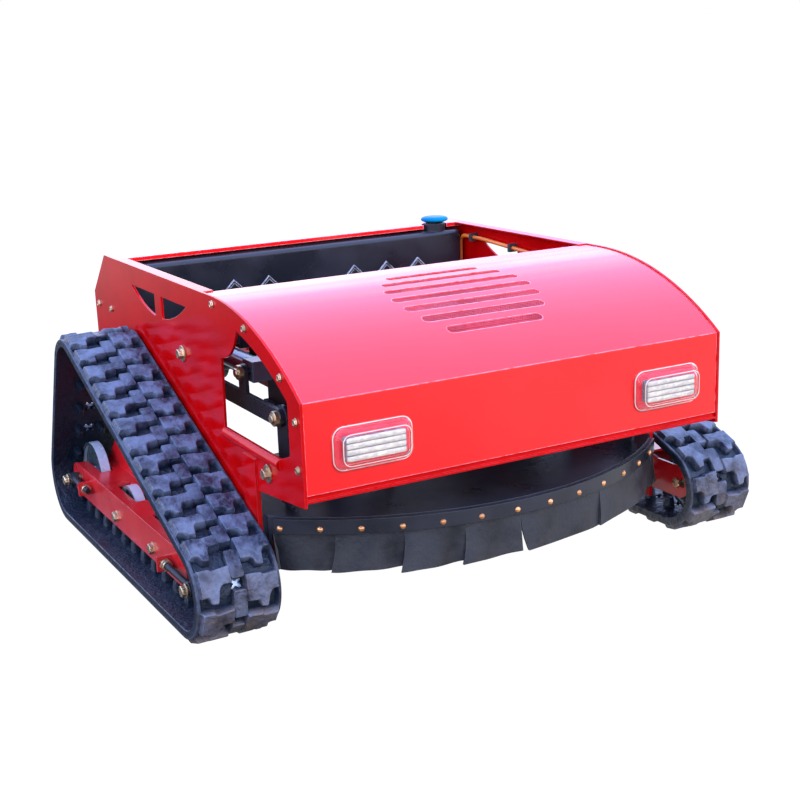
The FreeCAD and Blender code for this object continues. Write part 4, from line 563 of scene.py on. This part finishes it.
lugLook = {"shape": [(0.0, 0.038), (0.31, 0.038), (0.37, 0.048), (0.57, 0.049), (0.63, 0.030), (0.72, 0.024),
                     (1.0, 0.024), (1.0, 0.0), (0.50, 0.003), (0.44, 0.0), (0.0, 0.0)],
           "near": 0.0122, "span": 0.0633, "outerBack": -0.0275, "innerBack": -0.0105, "innerSlant": 0.004,
           "round": 0.0030, "endLean": 0.50, "heights": [0.0075, 0.0235, 0.0252, 0.026],
           "insets": [-0.0026, 0.0000, 0.0008, 0.0022],
           "pad": [(-0.0105, 0.0085), (0.0105, 0.0085), (0.0125, 0.014), (0.0125, 0.047), (0.0105, 0.052),
                   (-0.0105, 0.052), (-0.0125, 0.047), (-0.0125, 0.014)],
           "padHeights": [0.0075, 0.0205, 0.0218, 0.0222], "padInsets": [-0.001, 0.0002, 0.0010, 0.0024],
           "guide": [(-0.0065, -0.010), (0.0065, -0.010), (0.0065, 0.010), (-0.0065, 0.010)],
           "guideHeights": [0.002, -0.014, -0.0185, -0.020], "guideInsets": [-0.0015, 0.0005, 0.0015, 0.0035],
           "guideRows": (-0.024, 0.024)}


def lugOutline(outer):
    # A lug in plan: its points are a share of its span and a distance along the belt from its back edge.
    share, ahead = np.array(lugLook["shape"]).T
    if outer:
        across = lugLook["near"] + lugLook["span"] * (1 - share)
        along = lugLook["outerBack"] + ahead
    else:
        across = -lugLook["near"] - lugLook["span"] * share
        along = lugLook["innerBack"] + ahead + lugLook["innerSlant"] * share
    return rounded(np.stack([across, along], -1), lugLook["round"])


def beltBlocks(line, side, outline, heights, insets):
    # The same block on every link: rings of the outline, drawn in as they rise, and a top. Where a block
    # reaches the belt's edge its end leans inwards by a share of its height.
    rings = np.stack([insetLoop(outline, inset) for inset in insets])
    above = np.clip(np.array(heights) - trackLook["thick"], 0, None)[:, None]
    limit = trackLook["width"] / 2 - lugLook["endLean"] * above
    rings[..., 0] = np.clip(rings[..., 0], -limit, limit)
    faces = stackFaces(len(heights), len(outline))
    down = heights[-1] < heights[0]
    return onEveryLink(line, side, rings, heights, turnFaces(faces, (side > 0) != down))


def beltStrip(line, side, low, high):
    # A closed strip of the carcass between two distances from its middle, with a raised shoulder at its edge.
    thick, shoulder = trackLook["thick"], trackLook["shoulder"]
    outward = math.copysign(1, high)
    ease, wide = trackLook["shoulderEase"] * outward, trackLook["shoulderWide"] * outward
    ring = np.array([(low, 0), (high - ease, 0), (high, abs(ease)), (high, shoulder - abs(ease)),
                     (high - ease, shoulder), (high - wide, shoulder), (high - 2 * wide, thick), (low, thick)])
    rows = trackLook["links"] * trackLook["linkSteps"]
    along = np.repeat((np.arange(rows) / rows * line[0][-1])[:, None], len(ring), 1)
    across, height = (np.broadcast_to(ring[:, k], along.shape) for k in (0, 1))
    faces = gridFaces(rows, len(ring), loopRows=True, loopCols=True)
    return onBelt(line, side, along, across, height), turnFaces(faces, side * high < 0), height.reshape(-1)


def beltSeam(line, side):
    # The middle of the belt, one tile a link: rings from a cross-shaped drive hole out to the tile's edge,
    # with a thin web round the hole. Each quarter of the tile's edge has a corner and two points beside it.
    a, w = (trackLook[k] * trackLook["diagonal"] for k in ("armLength", "armHalf"))
    quarters = ((1, 0), (0, 1), (-1, 0), (0, -1))
    tip = [(a + w, a - w), (a - w, a + w), (0, 2 * w)]
    corner = [(1, 1), (trackLook["cornerShare"], 1), (-trackLook["cornerShare"], 1)]
    cross, edge = (np.array([(c * x - s * y, s * x + c * y) for c, s in quarters for x, y in spots])
                   for spots in (tip, corner))
    edge = edge * [trackLook["seamHalf"], line[0][-1] / trackLook["links"] / 2]
    web, thick = trackLook["web"], trackLook["thick"]
    near, middle = (cross * (1 - share) + edge * share for share in (trackLook["webShare"], trackLook["midShare"]))
    rings = [(cross, 0.0), (cross, web), (near, web), (middle, thick), (edge, thick), (edge, 0.0), (middle, 0.0)]
    flat, heights = zip(*rings)
    faces = gridFaces(len(rings), len(cross), loopRows=True, loopCols=True)
    return onEveryLink(line, side, np.stack(flat), heights, turnFaces(faces, side > 0))


def makeBelt(side, name):
    # The belt's height above its inner surface is kept on each point for the rubber's shade.
    line = beltLine(trackLook["rightLead"] if side > 0 else 0.0)
    half, seam = trackLook["width"] / 2, trackLook["seamHalf"] - trackLook["overlap"]
    parts = [beltStrip(line, side, seam, half), beltStrip(line, side, -seam, -half), beltSeam(line, side)]
    for outer in (True, False):
        parts.append(beltBlocks(line, side, lugOutline(outer), lugLook["heights"], lugLook["insets"]))
    pad, guide = (rounded(lugLook[k], lugLook["round"]) for k in ("pad", "guide"))
    parts.append(beltBlocks(line, side, pad, lugLook["padHeights"], lugLook["padInsets"]))
    for row in lugLook["guideRows"]:
        parts.append(beltBlocks(line, side, guide + [row, 0], lugLook["guideHeights"], lugLook["guideInsets"]))
    belt = addPiece(name + "TrackBelt", parts, "chassis", "trackRubber", [name + "_track_belt"], smooth=28.0)
    keepRise(belt, np.concatenate([part[2] for part in parts]) / trackLook["lugTop"])


makeBelt(-1, "left")
makeBelt(1, "right")
print("track belts made")


def nodePoints(name):
    # Every point of a CAD node in the frame's coordinates.
    mesh = nodes[name].data
    spots = np.empty(len(mesh.vertices) * 3)
    mesh.vertices.foreach_get("co", spots)
    turn = np.array(nodes[name].matrix_world)
    return spots.reshape(-1, 3) @ turn[:3, :3].T + turn[:3, 3]


def partBoxes(name):
    # Opposite corners of the box round each loose part of a node: labels spread along edges until they rest.
    mesh = nodes[name].data
    spots, same = np.unique(nodePoints(name).round(6), axis=0, return_inverse=True)
    ends = np.empty(len(mesh.edges) * 2, int)
    mesh.edges.foreach_get("vertices", ends)
    first, last = same.reshape(-1)[ends].reshape(-1, 2).T
    label, old = np.arange(len(spots)), None
    while old is None or (label != old).any():
        old = label.copy()
        np.minimum.at(label, first, old[last])
        np.minimum.at(label, last, old[first])
        label = label[label]
    return [(spots[label == k].min(0), spots[label == k].max(0)) for k in np.unique(label)]


def turned(profile, start, axis, flats=6):
    # A turned shape: each ring lies so far from the start along the axis, and its outline goes from round to
    # flat-sided as its third value goes from nought to one.
    profile = np.asarray(profile, float)
    t = np.linspace(0, 2 * math.pi, 24, endpoint=False)
    wedge = math.pi / flats
    flat = math.cos(wedge) / np.cos(np.mod(t + wedge, 2 * wedge) - wedge)
    radius = profile[:, 1:2] * (1 + profile[:, 2:3] * (flat - 1))
    ahead = Vector(axis)
    u = ahead.orthogonal().normalized()
    v = ahead.cross(u)
    ring = radius[:, :, None] * (np.cos(t)[:, None] * np.array(u) + np.sin(t)[:, None] * np.array(v))
    ring = ring + profile[:, 0][:, None, None] * np.array(ahead) + np.asarray(start, float)
    return ring.reshape(-1, 3), stackFaces(len(profile), len(t))


def washeredHead(look, seat, face, top, washer, head):
    # A washer with an eased rim and a six-sided head with eased corners and a hollow top, along the axis.
    upper, rim, hollow = look["shares"]
    face2 = face + look["rim"]
    return [(seat, washer, 0), (face, washer, 0), (face2, washer * 0.96, 0), (face2, head, 1),
            (top - look["ease"], head, 1), (top - look["dip"], head * upper, 0.2), (top, head * rim, 0),
            (top - look["dip"], head * hollow, 0)]


def nutRings(start, size, tall, ease):
    # A six-sided nut whose ends are drawn in.
    end = start + tall
    return [(start, size * 0.85, 0), (start + ease, size, 1), (end - ease, size, 1), (end, size * 0.85, 0)]


# small and big: grip, washer's radius and face, head's radius and top
boltLook = {"small": (0.012, 0.0072, 0.0012, 0.0056, 0.0048), "big": (0.0, 0.0158, 0.0024, 0.0096, 0.0116),
            "bigWidth": 0.025, "shank": 0.0038, "seat": 0.0001, "rim": 0.0003, "ease": 0.0010, "dip": 0.0003,
            "shares": (0.90, 0.80, 0.68)}


def makeBodyBolts():
    # Each bolt of the CAD node becomes a washered bolt at the same place on its plate.
    shank, seat, parts = boltLook["shank"], boltLook["seat"], []
    for low, high in partBoxes("body_bolts"):
        middle = (low + high) / 2
        side = math.copysign(1, middle[0])
        wide = high[1] - low[1] > boltLook["bigWidth"]
        grip, washer, face, head, top = boltLook["big" if wide else "small"]
        profile = [(-grip, shank, 0), (seat, shank, 0)] + washeredHead(boltLook, seat, face, top, washer, head)
        x = max(abs(low[0]), abs(high[0])) - top
        parts.append(turned(profile, (side * x, middle[1], middle[2]), (side, 0, 0)))
    addPiece("plateBolts", parts, "chassis", "boltSteel", ["body_bolts"])


axleLook = {"radius": 0.0080, "washer": 0.0125, "head": 0.0104, "nut": 0.0110, "nutHeight": 0.0080, "nutEase": 0.0008,
            "seat": 0.0100, "face": 0.0084, "rim": 0.0004, "ease": 0.0014, "dip": 0.0004, "shares": (0.88, 0.78, 0.66)}


def makeAxles():
    # A headed axle with a washer outside the frame and a nut inside it.
    radius, tall, parts = axleLook["radius"], axleLook["nutHeight"], []
    for low, high in partBoxes("wheel_axles"):
        middle = (low + high) / 2
        side = math.copysign(1, middle[0])
        span = high[0] - low[0]
        seat, face = span - axleLook["seat"], span - axleLook["face"]
        profile = nutRings(0, axleLook["nut"], tall, axleLook["nutEase"]) + [(tall, radius, 0), (seat, radius, 0)]
        profile += washeredHead(axleLook, seat, face, span, axleLook["washer"], axleLook["head"])
        x = min(abs(low[0]), abs(high[0]))
        parts.append(turned(profile, (side * x, middle[1], middle[2]), (side, 0, 0)))
    addPiece("wheelAxles", parts, "chassis", "boltSteel", ["wheel_axles"])


tensionerLook = {"rod": 0.0062, "pitch": 0.0022, "depth": 0.0006, "eye": 0.0132, "eyeHalf": 0.0100, "neck": 0.0085,
                 "neckEnds": (0.8, 1.4), "threadFrom": 1.5, "beyond": 0.0219, "plateHalf": 0.0036, "nut": 0.0112,
                 "nutHeight": 0.0082, "lock": 0.0106, "lockAt": 2.1, "ease": 0.001}


def makeTensioners():
    # A threaded rod runs from a round eye on the idler's axle through the bracket, held by a nut on each side.
    look = tensionerLook
    eye, wide, ease, tall, half = (look[k] for k in ("eye", "eyeHalf", "ease", "nutHeight", "plateHalf"))
    rods, nuts = [], []
    for low, high in partBoxes("track_tensioners"):
        x, y, z = (low + high) / 2
        ahead = 1 if y < 0 else -1
        near, far = (low[1], high[1]) if ahead > 0 else (high[1], low[1])
        foot = near + ahead * eye
        length = abs(far - foot)
        turns = int(length / look["pitch"])
        along = np.linspace(eye * look["threadFrom"], length, turns * 2)
        radius = look["rod"] - look["depth"] * (np.arange(turns * 2) % 2)
        thread = np.stack([along, radius, np.zeros(turns * 2)], -1)
        neck = [(eye * share, look["neck"], 0) for share in look["neckEnds"]]
        rods.append(turned(np.concatenate([neck, thread]), (x, foot, z), (0, ahead, 0)))
        ring = [(0, eye - ease, 0), (ease, eye, 0), (2 * wide - ease, eye, 0), (2 * wide, eye - ease, 0)]
        rods.append(turned(ring, (x - wide, foot, z), (1, 0, 0)))
        plate = length - look["beyond"]
        for start, size in ((plate + half, look["nut"]), (plate - half - tall, look["nut"]),
                            (plate - half - look["lockAt"] * tall, look["lock"])):
            nuts.append(turned(nutRings(start, size, tall, ease), (x, foot, z), (0, ahead, 0)))
    addPiece("tensionerRods", rods, "chassis", "darkMetal", ["track_tensioners"])
    addPiece("tensionerNuts", nuts, "chassis", "boltSteel")


# shares of the CAD cap's height and of its radius
capLook = {"shares": [(0.26, 0.30), (0.27, 0.78), (0.34, 0.90), (0.46, 0.985), (0.58, 1.0), (0.70, 0.985),
                      (0.82, 0.93), (0.92, 0.80), (0.97, 0.60), (1.0, 0.25)]}


def makeCap():
    # A flat rounded disc on the tank's neck, turned about the CAD cap's axis.
    low, high = partBoxes("filler_cap")[0]
    radius, tall = (high[0] - low[0]) / 2, high[2] - low[2]
    profile = [(up * tall, out * radius, 0) for up, out in capLook["shares"]]
    x, y, z = (low + high) / 2
    addPiece("roundCap", [turned(profile, (x, y, low[2]), (0, 0, 1))], "filler_cap", "bluePlastic", ["filler_cap"])


armLook = {"x": 0.3840, "spots": [(-1, -0.328, 0.361), (-1, -0.178, 0.413), (1, -0.328, 0.361)], "washer": 0.0136,
           "washerTop": 0.0086, "head": 0.0086, "top": 0.0130, "ease": 0.001, "topShare": 0.8}


def makeArmBolts():
    # A thick washer and a six-sided head over each pin of the lift arms.
    washer, thick, head, top, ease = (armLook[k] for k in ("washer", "washerTop", "head", "top", "ease"))
    profile = [(0, washer, 0), (thick - ease, washer, 0), (thick, washer - ease, 0), (thick, head, 1),
               (top - ease, head, 1), (top, head * armLook["topShare"], 0)]
    parts = [turned(profile, (side * armLook["x"], y, z), (side, 0, 0)) for side, y, z in armLook["spots"]]
    addPiece("armBolts", parts, "lift_frame", "boltSteel")


makeBodyBolts()
makeAxles()
makeTensioners()
makeArmBolts()
makeCap()
print("bolts, axles and tensioners made")

deckLook = {"arcMiddle": 0.630, "arc": 0.613, "halfWidth": 0.418, "wall": 0.004, "top": 0.193, "flap": 0.005,
            "band": 0.004, "seat": 0.0002, "cuts": [-122, -111, -101, -91, -73, -53], "gap": 0.05,
            "drops": [(0.092, 0.092), (0.093, 0.091), (0.098, 0.093), (0.097, 0.094), (0.097, 0.092),
                      (0.093, 0.084), (0.086, 0.086)],
            "leans": [0.004, 0.010, 0.011, 0.011, 0.006, 0.012, 0.007],
            "tilts": [0.0, -0.9, -0.9, -0.9, 1.1, -0.9, -0.5],
            "clamped": 0.30, "cup": 0.0035, "leanFade": 0.7, "wave": 0.0012, "waves": (9.0, 1.7), "hem": 0.0010,
            "mostOut": 0.016, "grid": (29, 17)}
sideFlapLook = {"length": 0.060, "lean": 0.014, "behind": 0.0015, "bulge": 0.003, "inside": 0.004, "below": 0.030,
                "height": 0.060, "thick": 0.004, "grid": (9, 13)}


def shareGrid(rows, cols, low=0):
    # Two shares, each running from low to one along its own side of a grid.
    return np.meshgrid(np.linspace(low, 1, rows), np.linspace(low, 1, cols), indexing="ij")


def makeFlaps():
    # Rubber flaps: a point is so far round the arc and down; the flap leans out, cups a little towards its foot
    # and swings aside by its tilt, so that the slits between flaps widen downwards.
    look = deckLook
    radius = look["arc"] + look["seat"]
    half = math.degrees(math.asin((look["halfWidth"] - look["wall"]) / (radius + look["flap"] + look["band"])))
    ends = np.radians([-90 - half, *look["cuts"], half - 90])
    gap = math.radians(look["gap"])
    u, v = shareGrid(*look["grid"])
    free = np.clip((v - look["clamped"]) / (1 - look["clamped"]), 0, 1)
    for k, (drop, lean, tilt) in enumerate(zip(look["drops"], look["leans"], look["tilts"])):
        first, last = ends[k] + gap / 2, ends[k + 1] - gap / 2
        angle = first + (last - first) * u + math.radians(tilt) * free ** 2 * (1 - u)
        cup = look["cup"] * free * np.cos(2 * math.pi * (u - 0.5) + k) + lean * free * (1 - look["leanFade"] * u)
        wave = look["wave"] * free * np.sin(look["waves"][0] * u + look["waves"][1] * k)
        fall = (drop[0] + (drop[1] - drop[0]) * u ** 2) * v + look["hem"] * np.sin(3 * math.pi * u + k) * v
        reach = radius + np.clip(cup + wave, 0, look["mostOut"])
        sheets = [np.stack([r * np.cos(angle), look["arcMiddle"] + r * np.sin(angle) - yMid, look["top"] - fall], -1)
                  for r in (reach, reach + look["flap"])]
        addPiece("rubberFlap" + str(k + 1), [closedSheet(*sheets, flip=True)], "deck", "flapRubber",
                 ["deck_flaps"] if k == 0 else ())


def makeSideFlaps():
    # A short flap on each of the deck's straight sides, just behind the arc's corner. It bulges in its middle
    # and leans forward towards its foot.
    look = sideFlapLook
    wall = deckLook["halfWidth"] - deckLook["wall"]
    front = deckLook["arcMiddle"] - math.sqrt((deckLook["arc"] + deckLook["flap"]) ** 2 - wall ** 2)
    u, v = shareGrid(*look["grid"])
    y = front + look["behind"] - yMid + look["length"] * u - look["lean"] * v * (1 - u)
    z = deckLook["top"] - look["below"] - look["height"] * v
    out = wall - look["inside"] + look["bulge"] * v * np.sin(math.pi * u)
    for side, name in ((-1, "left"), (1, "right")):
        sheets = [np.stack([side * (out + thick), y, z], -1) for thick in (0.0, look["thick"])]
        addPiece(name + "SideFlap", [closedSheet(*sheets, flip=side > 0)], "deck", "flapRubber")


makeFlaps()
makeSideFlaps()
print("deck flaps made:", len(deckLook["drops"]))

meshLook = {"thick": 0.0008, "grid": (9, 49), "near": 1.5, "degree": 4}


def makeHoodMesh():
    # A thin perforated sheet behind the hood's slots. Its height is a polynomial of y, fitted to the highest
    # points of the CAD sheet near each row.
    spots = nodePoints("hood_mesh")
    low, high = spots.min(0), spots.max(0)
    cols, rows = meshLook["grid"]
    y = np.linspace(low[1], high[1], rows)
    near = np.abs(spots[:, 1][None] - y[:, None]) < (y[1] - y[0]) * meshLook["near"]
    top = np.array([spots[row, 2].max() for row in near])
    bend = np.polynomial.Polynomial.fit(y, top, meshLook["degree"])
    x, y = np.meshgrid(np.linspace(low[0], high[0], cols), y, indexing="ij")
    upper = np.stack([x, y, np.minimum(bend(y), high[2])], -1)
    sheet = closedSheet(upper, upper - [0, 0, meshLook["thick"]])
    addPiece("slotMesh", [sheet], "chassis", "meshPaint", ["hood_mesh"])


makeHoodMesh()
print("slot mesh made")

# the rings and highlight beads are (inset, depth); depth counts forwards from the panel's face
lampLook = {"middle": (0.303, 0.350), "half": (0.074, 0.038), "corner": 0.020, "leastCorner": 0.003, "arcSteps": 7,
            "outer": [(0.0, -0.0017), (0.0, 0.0004), (0.0006, 0.0012), (0.0022, 0.0016), (0.009, 0.016),
                      (0.01104, 0.0186), (0.01344, 0.0197), (0.0168, 0.020)],
            "inner": [(0.01792, 0.0172), (0.016, 0.0166), (0.0136, 0.0142), (0.005, 0.0016), (0.0028, -0.0017)],
            "back": [(0.004, -0.0015), (0.004, 0.0006), (0.0048, 0.0012), (0.0108, 0.0012)],
            "highlightBeads": [(0.0016, 0.0016), (0.012, 0.0184)], "highlightBead": 0.0009, "highlightBeadSteps": 8}
blockLook = {"half": (0.0555, 0.0205), "face": 0.0125, "foot": 0.0014, "ribs": 4, "rise": 0.0035, "fade": 14,
             "bowFrom": 0.86, "bow": 0.10, "grid": (41, 65)}


def lampLoop(inset):
    # A rounded rectangle drawn in by inset, counter-clockwise seen from the front.
    w, h = (half - inset for half in lampLook["half"])
    r = max(lampLook["corner"] - inset / 2, lampLook["leastCorner"])
    t = np.linspace(0, math.pi / 2, lampLook["arcSteps"])
    arcs = []
    for k, (i, j) in enumerate(((1, 1), (-1, 1), (-1, -1), (1, -1))):
        a = t + k * math.pi / 2
        arcs.append(np.stack([i * (w - r) + r * np.cos(a), j * (h - r) + r * np.sin(a)], -1))
    return np.concatenate(arcs)


def onPanel(side, across, up, depth):
    # A point of a lamp: across and up from the lamp's middle and so far out from the panel's face.
    x, z = lampLook["middle"]
    return np.stack([side * x + across, np.zeros_like(across) - depth - yMid, z + up], -1)


def lampRings(side, name):
    loops = [(lampLoop(inset), depth) for inset, depth in lampLook[name]]
    return np.concatenate([onPanel(side, loop[:, 0], loop[:, 1], depth) for loop, depth in loops])


def makeHousing(side, name):
    # Clear walls: an outer stack closed at the front, an inner one closed behind it, joined at the foot.
    outer, inner = lampRings(side, "outer"), lampRings(side, "inner")
    count = len(lampLoop(0))
    faces = stackFaces(len(lampLook["outer"]), count, closeLow=False)
    faces += stackFaces(len(lampLook["inner"]), count, len(outer), closeHigh=False)
    ring = np.arange(count)
    ahead, last = np.roll(ring, -1), len(outer) + len(inner) - count
    faces += np.stack([last + ring, last + ahead, ahead, ring], -1).tolist()
    housing = (np.concatenate([outer, inner]), faces)
    addPiece(name + "LampLens", [housing], "chassis", "clearLens", [name + "_lamp_lens"], smooth=50.0)
    back = (lampRings(side, "back"), stackFaces(len(lampLook["back"]), count))
    addPiece(name + "LampBack", [back], "chassis", "lampRed", smooth=40.0)


def makeHighlightBeads(side, name):
    # Beads along the foot and the front edge carry a painted highlight: white tubes that stand for the rims' lit
    # lines, each a circle carried round the loop.
    t = np.linspace(0, 2 * math.pi, lampLook["highlightBeadSteps"], endpoint=False)[:, None]
    for number, (inset, depth) in enumerate(lampLook["highlightBeads"]):
        loop = lampLoop(inset)
        outward = lampLoop(inset - 0.001) - loop
        outward /= np.linalg.norm(outward, axis=1, keepdims=True)
        across, up = (loop[:, k] + lampLook["highlightBead"] * np.cos(t) * outward[:, k] for k in (0, 1))
        points = onPanel(side, across, up, depth - lampLook["highlightBead"] * np.sin(t)).reshape(-1, 3)
        faces = gridFaces(len(t), len(loop), loopRows=True, loopCols=True)
        addPiece(name + "LampHighlightBead" + str(number + 1), [(points, faces)], "chassis", "ledWhiteAndHighlight")


def makeLampBlock(side, name):
    # Ribs: the block's face rises in half-round bars that run across it, and its ends bow in at the corners.
    look = blockLook
    u, v = shareGrid(*look["grid"], low=-1)
    bar = np.mod((v + 1) / 2 * look["ribs"], 1.0) * 2 - 1
    rise = look["rise"] * np.sqrt(np.clip(1 - bar ** 2, 0, 1)) * np.clip((1 - np.abs(u)) * look["fade"], 0, 1) ** 0.5
    end = np.clip((np.abs(u) - look["bowFrom"]) / (1 - look["bowFrom"]), 0, 1)
    across, up = u * look["half"][0], v * look["half"][1] * (1 - look["bow"] * end ** 2 * np.abs(v) ** 3)
    sheets = [onPanel(side, across, up, depth) for depth in (look["face"] + rise, look["foot"])]
    block = addPiece(name + "LampBlock", [closedSheet(*sheets)], "chassis", "ribbedWhite",
                     [name + "_lamp_reflector"], smooth=40.0)
    keepRise(block, np.tile(rise.reshape(-1), 2) / look["rise"])


for side, name in ((-1, "left"), (1, "right")):
    makeHousing(side, name)
    makeHighlightBeads(side, name)
    makeLampBlock(side, name)
print("lamps made")

floorSettings = {"half": 30.0, "color": (0.04, 0.04, 0.04), "seen": 1.0, "through": 0.90, "sideways": (-0.8, 0.8),
                 "glow": (0.02, 0.90), "behind": (1.9, 3.8), "rearGlow": 0.56}


def makeFloor():
    # White to the camera. In reflections it runs from dim on the left to bright on the right and far behind.
    look = floorSettings
    half = look["half"]
    mesh = bpy.data.meshes.new("floor")
    mesh.from_pydata([(-half, -half, 0), (half, -half, 0), (half, half, 0), (-half, half, 0)], [], [(0, 1, 2, 3)])
    obj = linkObject("floor", mesh)
    material, tree = newMaterial("paleFloor")
    tree.nodes.clear()
    split = addNode(tree, "SeparateXYZ", {0: addNode(tree, "TexCoord").outputs["Object"]})
    mirror = addRange(tree, split.outputs["X"], *look["sideways"], *look["glow"])
    behind = addRange(tree, split.outputs["Y"], *look["behind"], 0.0, look["rearGlow"])
    path = addNode(tree, "LightPath").outputs
    seen = addMath(tree, "MULTIPLY", path["Is Camera Ray"], look["seen"])
    through = addMath(tree, "MULTIPLY", path["Is Transmission Ray"], look["through"])
    glossy = addMath(tree, "MULTIPLY", path["Is Glossy Ray"], addMath(tree, "MAXIMUM", mirror, behind))
    strength = addMath(tree, "ADD", seen, addMath(tree, "MAXIMUM", through, glossy))
    glow = addNode(tree, "Emission", {"Strength": strength})
    diffuse = addNode(tree, "BsdfDiffuse", {"Color": look["color"]})
    both = addNode(tree, "AddShader", {0: diffuse.outputs[0], 1: glow.outputs[0]})
    addNode(tree, "OutputMaterial", {"Surface": both.outputs[0]})
    mesh.materials.append(material)


makeFloor()
print("floor made")
